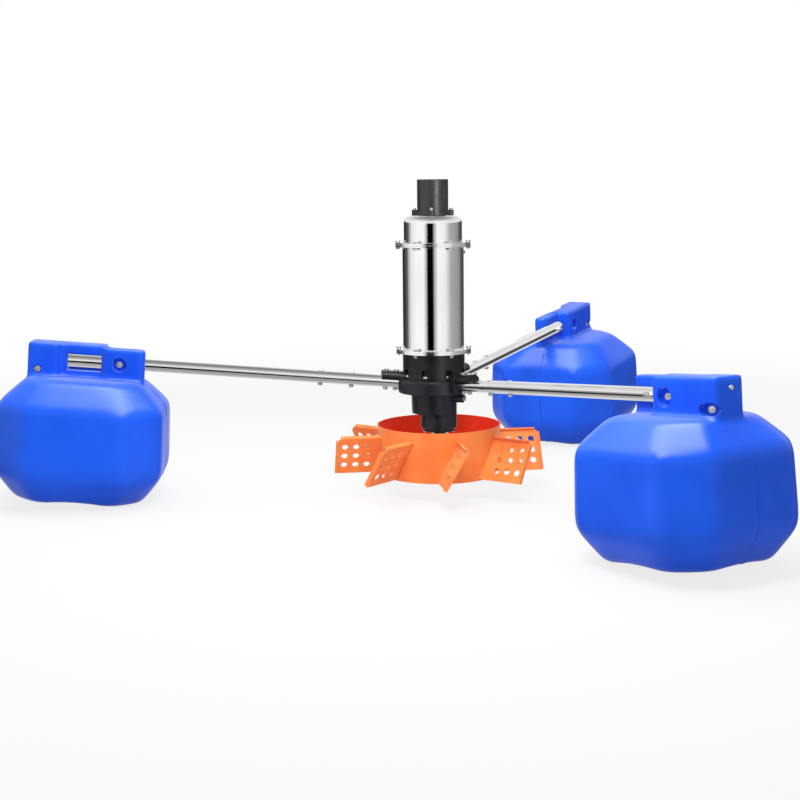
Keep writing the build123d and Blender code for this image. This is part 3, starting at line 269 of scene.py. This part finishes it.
def make_world():
    """Even light for surfaces, white for the camera, and a studio with dark flags for gloss."""
    world = bpy.data.worlds.new("studio")
    bpy.context.scene.world = world
    world.use_nodes = True
    nodes, links = world.node_tree.nodes, world.node_tree.links
    light = nodes["Background"]
    light.inputs["Color"].default_value = WHITE
    light.inputs["Strength"].default_value = WORLD_LIGHT
    turned = nodes.new("ShaderNodeVectorRotate")
    turned.rotation_type = "Z_AXIS"
    turned.inputs["Angle"].default_value = -VIEW_TURN
    links.new(nodes.new("ShaderNodeTexCoord").outputs["Generated"], turned.inputs["Vector"])
    split = nodes.new("ShaderNodeSeparateXYZ")
    links.new(turned.outputs["Vector"], split.inputs["Vector"])
    back = nodes.new("ShaderNodeMath")
    back.operation = "MULTIPLY"
    back.inputs[1].default_value = -1.0
    links.new(split.outputs["Y"], back.inputs[0])
    bearing = nodes.new("ShaderNodeMath")
    bearing.operation = "ARCTAN2"
    links.new(split.outputs["X"], bearing.inputs[0])
    links.new(back.outputs["Value"], bearing.inputs[1])
    upper = grey_ramp(nodes, links, bearing.outputs["Value"], BEARINGS, UPPER_FLAGS)
    lower = grey_ramp(nodes, links, bearing.outputs["Value"], BEARINGS, LOWER_FLAGS)
    low = grey_ramp(nodes, links, split.outputs["Z"], SINES, LOWER_SHARE)
    around = nodes.new("ShaderNodeMix")
    around.data_type = "RGBA"
    links.new(low, around.inputs["Factor"])
    links.new(upper, around.inputs["A"])
    links.new(lower, around.inputs["B"])
    height = grey_ramp(nodes, links, split.outputs["Z"], SINES, HEIGHT_LEVELS)
    share = grey_ramp(nodes, links, split.outputs["Z"], SINES, FLAG_SHARE)
    flags = nodes.new("ShaderNodeMix")
    flags.data_type = "RGBA"
    flags.inputs["A"].default_value = WHITE
    links.new(share, flags.inputs["Factor"])
    links.new(around.outputs["Result"], flags.inputs["B"])
    studio = nodes.new("ShaderNodeMix")
    studio.data_type = "RGBA"
    studio.blend_type = "MULTIPLY"
    studio.inputs["Factor"].default_value = 1.0
    links.new(flags.outputs["Result"], studio.inputs["A"])
    links.new(height, studio.inputs["B"])
    gloss = nodes.new("ShaderNodeBackground")
    links.new(studio.outputs["Result"], gloss.inputs["Color"])
    plain = nodes.new("ShaderNodeBackground")
    plain.inputs["Color"].default_value = WHITE
    path = nodes.new("ShaderNodeLightPath")
    shiny = nodes.new("ShaderNodeMixShader")
    links.new(path.outputs["Is Glossy Ray"], shiny.inputs["Fac"])
    links.new(light.outputs["Background"], shiny.inputs[1])
    links.new(gloss.outputs["Background"], shiny.inputs[2])
    seen = nodes.new("ShaderNodeMath")
    seen.operation = "MAXIMUM"
    links.new(path.outputs["Is Camera Ray"], seen.inputs[0])
    links.new(path.outputs["Is Transmission Ray"], seen.inputs[1])
    final = nodes.new("ShaderNodeMixShader")
    links.new(seen.outputs["Value"], final.inputs["Fac"])
    links.new(shiny.outputs["Shader"], final.inputs[1])
    links.new(plain.outputs["Background"], final.inputs[2])
    links.new(final.outputs["Shader"], nodes["World Output"].inputs["Surface"])


def grey_ramp(nodes, links, value, limits, stops):
    """Grey level that follows value; stops are (place, level), on a scale with 0 in the middle."""
    spread = nodes.new("ShaderNodeMapRange")
    spread.inputs["From Min"].default_value, spread.inputs["From Max"].default_value = limits
    links.new(value, spread.inputs["Value"])
    ramp = nodes.new("ShaderNodeValToRGB")
    elements = ramp.color_ramp.elements
    whole = stops[-1][0] - stops[0][0]
    while len(elements) < len(stops):
        elements.new(1.0)
    for element, (place, level) in zip(elements, stops):
        element.position = place / whole + 0.5
        element.color = (level, level, level, 1.0)
    links.new(spread.outputs["Result"], ramp.inputs["Fac"])
    return ramp.outputs["Color"]


def make_floor():
    """Pale floor under the floats, which keeps their soft shadow."""
    floor_level = cad_box[0].z
    bpy.ops.mesh.primitive_plane_add(size=FLOOR_SIZE, location=(0, 0, floor_level))
    floor = bpy.context.object
    floor.name = "floor"
    floor.visible_glossy = False
    material = bpy.data.materials.new("floor")
    material.use_nodes = True
    nodes, links = material.node_tree.nodes, material.node_tree.links
    nodes["Principled BSDF"].inputs["Base Color"].default_value = FLOOR_COLOUR
    nodes["Principled BSDF"].inputs["Roughness"].default_value = 0.9
    glow = nodes.new("ShaderNodeEmission")
    path = nodes.new("ShaderNodeLightPath")
    far = nodes.new("ShaderNodeVectorMath")
    far.operation = "LENGTH"
    links.new(nodes.new("ShaderNodeTexCoord").outputs["Object"], far.inputs[0])
    fade = nodes.new("ShaderNodeMapRange")
    fade.interpolation_type = "SMOOTHSTEP"
    fade.inputs["From Min"].default_value, fade.inputs["From Max"].default_value = FLOOR_FADE
    fade.inputs["To Min"].default_value = FLOOR_GLOW
    links.new(far.outputs["Value"], fade.inputs["Value"])
    share = nodes.new("ShaderNodeMath")
    share.operation = "MULTIPLY"
    links.new(fade.outputs["Result"], share.inputs[1])
    links.new(path.outputs["Is Camera Ray"], share.inputs[0])
    mix = nodes.new("ShaderNodeMixShader")
    links.new(share.outputs["Value"], mix.inputs["Fac"])
    links.new(nodes["Principled BSDF"].outputs["BSDF"], mix.inputs[1])
    links.new(glow.outputs["Emission"], mix.inputs[2])
    links.new(mix.outputs["Shader"], nodes["Material Output"].inputs["Surface"])
    floor.data.materials.append(material)
    floor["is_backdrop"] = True


def make_lamps():
    """Soft boxes aimed at the hub, and two lamps that draw the sheen on black pieces and floats.

    Polished steel shows the studio alone.
    """
    spared = bpy.data.collections.new("spared_by_lamps")
    for node in nodes_of(("stainless",)):
        spared.objects.link(node)
    for member in spared.collection_objects:
        member.light_linking.link_state = "EXCLUDE"
    for name, place, size, power in LAMPS:
        make_lamp(name, place, (size, size), power, spared)
    black = bpy.data.collections.new("lit_by_strip")
    for node in nodes_of(("black_plastic", "casting")):
        black.objects.link(node)
    make_lamp("lamp_strip", STRIP_PLACE, STRIP_SIZE, STRIP_POWER, black)
    floats = bpy.data.collections.new("lit_by_sheen")
    for number in FLOAT_NUMBERS:
        floats.objects.link(bpy.data.objects[f"float_skin_{number}"])
        floats.objects.link(bpy.data.objects[f"parting_ridge_{number}"])
    sheen = make_lamp("lamp_sheen", SHEEN_PLACE, SHEEN_SIZE, SHEEN_POWER, floats)
    sheen.visible_diffuse = False


def make_lamp(name, place, size, power, receivers):
    """Lamp with a face of that width and height, aimed at the middle of the machine."""
    data = bpy.data.lights.new(name, "AREA")
    data.shape = "RECTANGLE"
    data.size, data.size_y = size
    data.energy = power
    lamp = bpy.data.objects.new(name, data)
    lamp.location = from_view(*place)
    aim = Vector((0, 0, HUB_LEVEL)) - lamp.location
    lamp.rotation_euler = aim.to_track_quat("-Z", "Y").to_euler()
    lamp.light_linking.receiver_collection = receivers
    bpy.context.scene.collection.objects.link(lamp)
    return lamp


def nodes_of(slots):
    """CAD nodes whose material is one of the given slots."""
    for subpart in frame["record"]["subparts"]:
        if subpart["material_slot"] in slots:
            yield frame["nodes"][subpart["node"]]


def float_place(number):
    """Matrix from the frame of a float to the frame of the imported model."""
    azimuth = FIRST_ARM + (number - 1) * 2 * pi / 3
    turn = Matrix.Rotation(azimuth, 4, "Z") @ Matrix.Rotation(-ARM_RISE, 4, "Y")
    return Matrix.Translation((0, 0, HUB_LEVEL)) @ turn @ Matrix.Translation((HUB_TO_FLOAT, 0, 0))


def float_faces():
    """Normals of the flat faces of a float's body, each divided by its distance inside it."""
    faces = [(Vector((0, 0, 1)), FLOAT_LEVELS[0][0] - FLOAT_MIDDLE.z)]
    faces.append((Vector((0, 0, -1)), FLOAT_MIDDLE.z - FLOAT_LEVELS[-1][0]))
    for side in range(8):
        outwards = Vector((cos(side * pi / 4), sin(side * pi / 4), 0))
        profile = []
        for level, half in FLOAT_LEVELS:
            across = half - FLOAT_NARROWER
            corner = (half + across - FLOAT_CORNER_SHARE * half) / sqrt(2)
            reach = corner if side % 2 else (half, across)[side // 2 % 2]
            profile.append(Vector((reach, level - FLOAT_MIDDLE.z)))
        for upper, lower in zip(profile, profile[1:]):
            along = (lower - upper).normalized()
            normal = Vector((-along.y, along.x))
            faces.append((outwards * normal.x + Vector((0, 0, normal.y)), normal.dot(upper)))
    return [normal / distance for normal, distance in faces]


def hollow_level(place):
    """Height of the hollow that crosses under a float, at a distance from its middle."""
    inside = max(HOLLOW_RADIUS**2 - place**2, 0)
    return FLOAT_LEVELS[-1][0] + HOLLOW_DEPTH - HOLLOW_RADIUS + sqrt(inside)


def soft_larger(first, second):
    """The larger of two heights, with a smooth change from one to the other."""
    return (first + second + sqrt((first - second)**2 + HOLLOW_BLEND**2)) / 2


def on_float(direction, faces):
    """Point of a float's body in a direction from its middle, all its edges softly rounded."""
    share = sum(max(face.dot(direction), 0)**FLOAT_CRISPNESS for face in faces)
    point = FLOAT_MIDDLE + direction * share**(-1 / FLOAT_CRISPNESS)
    if point.z < FLOAT_MIDDLE.z:
        for place in (point.x, point.y):
            point.z = soft_larger(point.z, hollow_level(place))
    return point


def rounded(corners, radius, steps=4):
    """Outline with each corner taken off in an arc; corners run anticlockwise."""
    outline = []
    earlier, later = corners[-1:] + corners[:-1], corners[1:] + corners[:1]
    for before, corner, after in zip(earlier, corners, later):
        corner = Vector(corner)
        first = corner + (Vector(before) - corner).normalized() * radius
        last = corner + (Vector(after) - corner).normalized() * radius
        for step in range(steps + 1):
            share = step / steps
            middle = first.lerp(corner, share).lerp(corner.lerp(last, share), share)
            outline.append(middle)
    return outline


def add_prism(mesh, outline, low, high, place=Matrix.Identity(4)):
    """Adds a closed prism over an outline, between two heights of the frame given by place."""
    rings = []
    for level in (low, high):
        rings.append([mesh.verts.new(place @ Vector((*point, level))) for point in outline])
    mesh.faces.new(rings[0][::-1])
    mesh.faces.new(rings[1])
    for number in range(len(outline)):
        after = (number + 1) % len(outline)
        mesh.faces.new((rings[0][number], rings[0][after], rings[1][after], rings[1][number]))


def rectangle(low, high):
    """Corners of a rectangle between the one of least x and y and the one of greatest."""
    return [(low[0], low[1]), (high[0], low[1]), (high[0], high[1]), (low[0], high[1])]


def circle(x, y, radius, count=40):
    """Outline of a circle."""
    turns = [2 * pi * number / count for number in range(count)]
    return [Vector((x + radius * cos(turn), y + radius * sin(turn))) for turn in turns]


def slot_outline(x, y, length, height, count=20):
    """Outline of a slot with round ends, as long and high as given in all."""
    half, radius = (length - height) / 2, height / 2
    turns = [pi * number / count - pi / 2 for number in range(count + 1)]
    right = [Vector((x + half + radius * cos(turn), y + radius * sin(turn))) for turn in turns]
    left = [Vector((x - half - radius * cos(turn), y - radius * sin(turn))) for turn in turns]
    return right + left


def new_object(name, mesh):
    """Object with the given mesh data, or with what a bmesh holds."""
    if isinstance(mesh, bmesh.types.BMesh):
        data = bpy.data.meshes.new(name)
        mesh.to_mesh(data)
        mesh.free()
        mesh = data
    piece = bpy.data.objects.new(name, mesh)
    bpy.context.scene.collection.objects.link(piece)
    return piece


def apply_modifiers(piece):
    """Turns what the modifiers of a piece give into its own mesh."""
    evaluated = piece.evaluated_get(bpy.context.evaluated_depsgraph_get())
    shape = bpy.data.meshes.new_from_object(evaluated)
    piece.modifiers.clear()
    piece.data = shape


def float_blank():
    """Float without holes: soft body and bracket grown into one skin."""
    faces = float_faces()
    mesh = bmesh.new()
    bmesh.ops.create_icosphere(mesh, subdivisions=6, radius=1.0)
    for vertex in mesh.verts:
        vertex.co = on_float(vertex.co.normalized(), faces)
    for low, high, radius, top in BRACKET_BLOCKS:
        add_prism(mesh, rounded(rectangle(low, high), radius), BRACKET_ROOT, top)
    blank = new_object("float_blank", mesh)
    remesh = blank.modifiers.new("skin", "REMESH")
    remesh.mode = "VOXEL"
    remesh.voxel_size = VOXEL
    smooth = blank.modifiers.new("soften", "SMOOTH")
    smooth.factor = 0.5
    smooth.iterations = SMOOTH_TURNS
    apply_modifiers(blank)
    return blank


def float_cutters():
    """Cutters of a float's bore, plug hole, window, bolt pockets and bolt holes."""
    # Across the arm: x along the arm, y upwards, heights to the arm's right
    across = Matrix(((1, 0, 0, 0), (0, 0, -1, 0), (0, 1, 0, 0), (0, 0, 0, 1)))
    # Along the arm: x to its left, y upwards, heights outwards
    along = Matrix(((0, 0, 1, 0), (1, 0, 0, 0), (0, 1, 0, 0), (0, 0, 0, 1)))
    shapes = (
        (circle(0, 0, TUBE_RADIUS + GAP), -CUT_END, BORE_END, along),
        (circle(0, PLUG_LEVEL, PLUG_HOLE, HOLE_SIDES), PLUG_HOLE_END, CUT_END, along),
        (rounded(rectangle(*WINDOW), WINDOW_ROUND), -CUT_SIDE, GAP, across),
        (circle(*INNER_BOLT, INNER_POCKET), -CUT_SIDE, -POCKET_FLOOR, across),
        (circle(*INNER_BOLT, BOLT_HOLE, HOLE_SIDES), -BOLT_HOLE_START, BRACKET_SIDE, across),
        (circle(*OUTER_BOLT, OUTER_POCKET), -CUT_SIDE, -OUTER_POCKET_FLOOR, across),
        (circle(*OUTER_BOLT, BOLT_HOLE, HOLE_SIDES), -BOLT_HOLE_START, BRACKET_SIDE, across),
        (circle(*MIDDLE_BOLT, MIDDLE_POCKET), POCKET_FLOOR, CUT_SIDE, across),
        (slot_outline(*OUTER_BOLT, *OUTER_SLOT), POCKET_FLOOR, CUT_SIDE, across),
        (circle(*MIDDLE_BOLT, BOLT_HOLE, HOLE_SIDES), 0.0, BRACKET_SIDE, across),
    )
    for outline, low, high, place in shapes:
        mesh = bmesh.new()
        add_prism(mesh, outline, low, high, place)
        bmesh.ops.recalc_face_normals(mesh, faces=mesh.faces)
        yield new_object("cutter", mesh)


def sharpen(data, angle):
    """Smooth shading with sharp edges only where the faces meet at more than the angle."""
    mesh = bmesh.new()
    mesh.from_mesh(data)
    for face in mesh.faces:
        face.smooth = True
    for edge in mesh.edges:
        edge.smooth = len(edge.link_faces) == 2 and edge.calc_face_angle(0) < angle
    mesh.to_mesh(data)
    mesh.free()


def add_strip(mesh, path, section, outwards, sideways):
    """Adds a closed bar along a path; section gives (outwards, sideways) round each point."""
    rings = []
    for point, out, side in zip(path, outwards, sideways):
        rings.append([mesh.verts.new(point + out * rise + side * shift) for rise, shift in section])
    for ring, after in zip(rings, rings[1:]):
        for number in range(len(section)):
            follow = (number + 1) % len(section)
            mesh.faces.new((ring[number], ring[follow], after[follow], after[number]))
    mesh.faces.new(rings[0][::-1])
    mesh.faces.new(rings[-1])


def make_parting_ridges(material):
    """Thin ridge where the two halves of the mould met, in the upright plane of each arm."""
    faces = float_faces()
    turns = [
        radians(RIDGE_START - RIDGE_SWEEP * step / RIDGE_STEPS) for step in range(RIDGE_STEPS + 1)
    ]
    directions = [Vector((cos(turn), 0, sin(turn))) for turn in turns]
    path = [on_float(direction, faces) for direction in directions]
    outwards = []
    for number in range(len(path)):
        along = path[min(number + 1, RIDGE_STEPS)] - path[max(number - 1, 0)]
        outwards.append(Vector((-along.z, 0, along.x)).normalized())
    sideways = [Vector((0, 1, 0))] * len(path)
    section = [
        (-RIDGE_HEIGHT, -RIDGE_WIDTH / 2), (0, -RIDGE_WIDTH / 2), (RIDGE_HEIGHT, 0),
        (0, RIDGE_WIDTH / 2), (-RIDGE_HEIGHT, RIDGE_WIDTH / 2),
    ]
    for number in FLOAT_NUMBERS:
        mesh = bmesh.new()
        add_strip(mesh, path, section, outwards, sideways)
        bmesh.ops.recalc_face_normals(mesh, faces=mesh.faces)
        mesh.transform(float_place(number))
        finish_piece(new_object(f"parting_ridge_{number}", mesh), material, "frame")


def finish_piece(piece, material, body):
    """Smooth shading, material and body of a new piece."""
    sharpen(piece.data, PIECE_SHARP)
    piece.data.materials.append(material)
    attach(piece, body)


def make_welds(material):
    """Weld beads on both sides of each blade where it stands on the drum, and the drum's seam."""
    uneven = Random(WELD_SEED)
    slope = Vector((0, sin(BLADE_TILT), cos(BLADE_TILT)))
    normal = Vector((0, cos(BLADE_TILT), -sin(BLADE_TILT)))
    mesh = bmesh.new()
    for blade in range(BLADE_COUNT):
        turn = Matrix.Rotation(BLADE_START + blade * 2 * pi / BLADE_COUNT, 4, "Z")
        for side in (-1, 1):
            path = []
            for step in range(WELD_STEPS + 1):
                share = WELD_REACH - 2 * WELD_REACH * step / WELD_STEPS
                place = slope * BLADE_LENGTH * share + normal * side * WELD_OFFSET
                place.z += BLADE_MIDDLE
                drum = DRUM_OUTSIDE + DRUM_SLOPE * place.z
                place.x = sqrt(drum**2 - place.y**2)
                path.append(turn @ place)
            add_bead(mesh, path, uneven)
    seam = Matrix.Rotation(SEAM_AZIMUTH, 4, "Z")
    path = []
    for step in range(WELD_STEPS + 1):
        level = DRUM_LOW + (DRUM_HIGH - DRUM_LOW) * step / WELD_STEPS
        path.append(seam @ Vector((DRUM_OUTSIDE + DRUM_SLOPE * level, 0, level)))
    add_bead(mesh, path, uneven)
    bmesh.ops.recalc_face_normals(mesh, faces=mesh.faces)
    finish_piece(new_object("drum_welds", mesh), material, "impeller")


def add_bead(mesh, path, uneven):
    """Adds a rippled weld bead that lies on the drum along a path."""
    outwards, sideways = [], []
    for number, point in enumerate(path):
        along = (path[min(number + 1, len(path) - 1)] - path[max(number - 1, 0)]).normalized()
        out = Vector((point.x, point.y, 0)).normalized()
        swell = 1 + WELD_RIPPLE * (-1)**number + uneven.uniform(-WELD_UNEVENNESS, WELD_UNEVENNESS)
        outwards.append(out * swell)
        sideways.append(along.cross(out).normalized() * swell)
    turns = [2 * pi * number / WELD_SIDES for number in range(WELD_SIDES)]
    section = [(WELD_RADIUS * sin(turn), WELD_RADIUS * cos(turn)) for turn in turns]
    add_strip(mesh, path, section, outwards, sideways)


def make_floats(material):
    """Three floats over their CAD nodes, cut from one soft skin."""
    skin = float_blank()
    for cutter in float_cutters():
        cut = skin.modifiers.new("cut", "BOOLEAN")
        cut.operation = "DIFFERENCE"
        cut.solver = "MANIFOLD"
        cut.object = cutter
        apply_modifiers(skin)
        bpy.data.objects.remove(cutter)
    sharpen(skin.data, SKIN_SHARP)
    skin.data.materials.clear()
    skin.data.materials.append(material)
    for number in FLOAT_NUMBERS:
        data = skin.data.copy()
        data.transform(float_place(number))
        piece = new_object(f"float_skin_{number}", data)
        piece.visible_glossy = False
        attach(piece, "frame")
        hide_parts(f"float_{number}")
    bpy.data.objects.remove(skin)


class Finish:
    """Procedural material built up from noise, over the object's own coordinates."""

    def __init__(self, name, metallic=0.0, coat=0.0):
        self.material = bpy.data.materials.new(name)
        self.material.use_nodes = True
        self.nodes = self.material.node_tree.nodes
        self.links = self.material.node_tree.links
        self.shader = self.nodes["Principled BSDF"]
        self.shader.inputs["Metallic"].default_value = metallic
        self.shader.inputs["Coat Weight"].default_value = coat
        self.place = self.nodes.new("ShaderNodeTexCoord").outputs["Object"]
        self.normal = None

    def noise(self, scale, detail=3.0, stretch=(1, 1, 1)):
        """Noise of that many cells to the metre, finer where the stretch is larger."""
        mapping = self.nodes.new("ShaderNodeMapping")
        mapping.inputs["Scale"].default_value = stretch
        self.links.new(self.place, mapping.inputs["Vector"])
        texture = self.nodes.new("ShaderNodeTexNoise")
        texture.inputs["Scale"].default_value = scale
        texture.inputs["Detail"].default_value = detail
        self.links.new(mapping.outputs["Vector"], texture.inputs["Vector"])
        return texture.outputs["Fac"]

    def blend(self, value, colours):
        """Colour that goes from the first to the second with the value of a noise."""
        ramp = self.nodes.new("ShaderNodeValToRGB")
        for element, place, colour in zip(ramp.color_ramp.elements, BLEND_RANGE, colours):
            element.position = place
            element.color = (*colour, 1.0)
        self.links.new(value, ramp.inputs["Fac"])
        return ramp.outputs["Color"]

    def above(self, level):
        """One above a height of the object's own coordinates, and nothing below it."""
        split = self.nodes.new("ShaderNodeSeparateXYZ")
        self.links.new(self.place, split.inputs["Vector"])
        higher = self.nodes.new("ShaderNodeMath")
        higher.operation = "GREATER_THAN"
        higher.inputs[1].default_value = level
        self.links.new(split.outputs["Z"], higher.inputs[0])
        return higher.outputs["Value"]

    def inside_cone(self, foot, slope):
        """One within an upright cone, given its radius at the origin and its slope."""
        split = self.nodes.new("ShaderNodeSeparateXYZ")
        self.links.new(self.place, split.inputs["Vector"])
        flat = self.nodes.new("ShaderNodeCombineXYZ")
        self.links.new(split.outputs["X"], flat.inputs["X"])
        self.links.new(split.outputs["Y"], flat.inputs["Y"])
        reach = self.nodes.new("ShaderNodeVectorMath")
        reach.operation = "LENGTH"
        self.links.new(flat.outputs["Vector"], reach.inputs[0])
        wall = self.nodes.new("ShaderNodeMath")
        wall.operation = "MULTIPLY_ADD"
        wall.inputs[1].default_value = slope
        wall.inputs[2].default_value = foot
        self.links.new(split.outputs["Z"], wall.inputs[0])
        within = self.nodes.new("ShaderNodeMath")
        within.operation = "LESS_THAN"
        self.links.new(reach.outputs["Value"], within.inputs[0])
        self.links.new(wall.outputs["Value"], within.inputs[1])
        return within.outputs["Value"]

    def mixed(self, share, first, second):
        """The first colour where share is nothing, the second where it is one."""
        mix = self.nodes.new("ShaderNodeMix")
        mix.data_type = "RGBA"
        self.links.new(share, mix.inputs["Factor"])
        self.links.new(first, mix.inputs["A"])
        self.links.new(second, mix.inputs["B"])
        return mix.outputs["Result"]

    def colour(self, output):
        """Gives the shader its base colour."""
        self.links.new(output, self.shader.inputs["Base Color"])

    def roughness(self, value, low, high):
        """Roughness that goes from low to high with the value of a noise."""
        spread = self.nodes.new("ShaderNodeMapRange")
        for limit, place in zip(("From Min", "From Max"), NOISE_RANGE):
            spread.inputs[limit].default_value = place
        spread.inputs["To Min"].default_value = low
        spread.inputs["To Max"].default_value = high
        self.links.new(value, spread.inputs["Value"])
        self.links.new(spread.outputs["Result"], self.shader.inputs["Roughness"])

    def round_edges(self, radius):
        """Lets sharp edges catch the light as if they were rounded to that radius."""
        edges = self.nodes.new("ShaderNodeBevel")
        edges.samples = 6
        edges.inputs["Radius"].default_value = radius
        self.normal = edges.outputs["Normal"]
        self.links.new(self.normal, self.shader.inputs["Normal"])

    def bump(self, value, height):
        """Relief as high as height, in metres, over what is there already."""
        relief = self.nodes.new("ShaderNodeBump")
        relief.inputs["Distance"].default_value = height
        self.links.new(value, relief.inputs["Height"])
        if self.normal:
            self.links.new(self.normal, relief.inputs["Normal"])
        self.normal = relief.outputs["Normal"]
        self.links.new(self.normal, self.shader.inputs["Normal"])


def polished_steel(name, stretch):
    """Polished stainless with fine polishing lines along the directions of little stretch."""
    finish = Finish(name, metallic=1.0)
    lines = finish.noise(12.0, 4.0, stretch)
    finish.colour(finish.blend(finish.noise(5.0), POLISHED_STEEL))
    finish.roughness(lines, 0.045, 0.09)
    finish.round_edges(0.0008)
    finish.bump(lines, 0.000006)
    return finish.material


def machined_steel(name, colours, rough):
    """Bright machined metal of fasteners, shafts and gears."""
    finish = Finish(name, metallic=1.0)
    finish.colour(finish.blend(finish.noise(60.0), colours))
    finish.roughness(finish.noise(220.0), rough, rough + 0.16)
    finish.round_edges(0.0005)
    finish.bump(finish.noise(900.0), 0.00003)
    return finish.material


def casting():
    """Dark paint on sand castings: blue-black on the gear case, brown-black on its cover."""
    finish = Finish("casting", coat=0.12)
    finish.shader.inputs["Coat Roughness"].default_value = 0.16
    finish.shader.inputs["Specular IOR Level"].default_value = 0.22
    case = finish.blend(finish.noise(14.0, 5.0), CASE_PAINT)
    cover = finish.blend(finish.noise(14.0, 5.0), COVER_PAINT)
    finish.colour(finish.mixed(finish.above(COVER_BASE), case, cover))
    finish.roughness(finish.noise(40.0), 0.28, 0.46)
    finish.round_edges(0.0016)
    finish.bump(finish.noise(30.0), 0.0006)
    finish.bump(finish.noise(420.0, 2.0), 0.00022)
    return finish.material


def orange_paint():
    """Orange enamel on sheet steel, slightly uneven, as sprayed, with painted shade: deeper red
    inside the drum.
    """
    finish = Finish("orange_paint", coat=0.1)
    finish.shader.inputs["Coat Roughness"].default_value = 0.25
    finish.shader.inputs["Specular IOR Level"].default_value = 0.25
    outside = finish.blend(finish.noise(9.0, 4.0), ORANGE_OUTSIDE)
    inside = finish.blend(finish.noise(9.0, 4.0), ORANGE_PAINTED_SHADE_INSIDE)
    # Painted shade: within the drum's cone the same paint turns deeper red
    finish.colour(finish.mixed(finish.inside_cone(DRUM_FOOT, DRUM_SLOPE), outside, inside))
    finish.roughness(finish.noise(25.0), 0.34, 0.50)
    finish.round_edges(0.0009)
    finish.bump(finish.noise(11.0), 0.0010)
    finish.bump(finish.noise(260.0, 2.0), 0.00012)
    return finish.material


def float_plastic():
    """Blue blow-moulded polyethylene: soft sheen, faint flow marks and a fine grain."""
    finish = Finish("float_blue")
    finish.shader.inputs["Specular IOR Level"].default_value = 0.26
    finish.colour(finish.blend(finish.noise(4.0, 3.0), FLOAT_BLUE))
    finish.roughness(finish.noise(7.0, 4.0), 0.28, 0.37)
    finish.round_edges(0.004)
    finish.bump(finish.noise(10.0, 2.0), 0.0016)
    finish.bump(finish.noise(300.0, 2.0), 0.00010)
    return finish.material


def moulded(name, colours, rough, grain, gloss=0.4):
    """Dark moulded plastic or rubber with a fine grain."""
    finish = Finish(name)
    finish.shader.inputs["Specular IOR Level"].default_value = gloss
    finish.colour(finish.blend(finish.noise(30.0, 4.0), colours))
    finish.roughness(finish.noise(60.0), rough, rough + 0.15)
    finish.round_edges(0.0010)
    finish.bump(finish.noise(grain, 2.0), 0.00004)
    return finish.material


def sheet_stack():
    """Edges of stacked electrical sheet."""
    finish = Finish("laminations", metallic=1.0)
    lines = finish.noise(20.0, 2.0, (0.05, 0.05, 60.0))
    finish.colour(finish.blend(lines, SHEET_EDGES))
    finish.roughness(lines, 0.35, 0.6)
    finish.bump(lines, 0.0002)
    return finish.material


def wound_copper():
    """Varnished copper wire wound round the machine's axis."""
    finish = Finish("copper", metallic=0.8, coat=0.4)
    wire = finish.noise(20.0, 2.0, (1.0, 1.0, 30.0))
    finish.colour(finish.blend(wire, COPPER_WIRE))
    finish.roughness(wire, 0.25, 0.45)
    finish.bump(wire, 0.0008)
    return finish.material


def finishes():
    """The material of each slot in the record."""
    return {
        "black_plastic": moulded("black_plastic", BLACK_PLASTIC, 0.27, 500.0, gloss=0.5),
        "rubber": moulded("rubber", RUBBER, 0.60, 250.0),
        "gasket": moulded("gasket", GASKET, 0.65, 350.0),
        "stainless": polished_steel("stainless", (0.4, 0.4, 22.0)),
        "fasteners": machined_steel("fasteners", FASTENER_STEEL, 0.34),
        "steel": machined_steel("steel", MACHINED_STEEL, 0.26),
        "casting": casting(),
        "laminations": sheet_stack(),
        "copper": wound_copper(),
        "orange_paint": orange_paint(),
        "float_blue": float_plastic(),
    }


def dress_nodes(materials):
    """Gives each CAD node the material of its slot; steel doesn't mirror the painted impeller."""
    for subpart in frame["record"]["subparts"]:
        node = frame["nodes"][subpart["node"]]
        node.visible_glossy = subpart["material_slot"] != "orange_paint"
        for place in node.material_slots:
            place.material = materials[subpart["material_slot"]]


make_camera()
make_world()
make_floor()
materials = finishes()
dress_nodes(materials)
make_floats(materials["float_blue"])
make_parting_ridges(materials["float_blue"])
make_welds(materials["orange_paint"])
make_lamps()
bpy.context.scene.view_settings.view_transform = "Standard"

visual_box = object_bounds()
[[list(corner) for corner in box] for box in (cad_box, visual_box)]
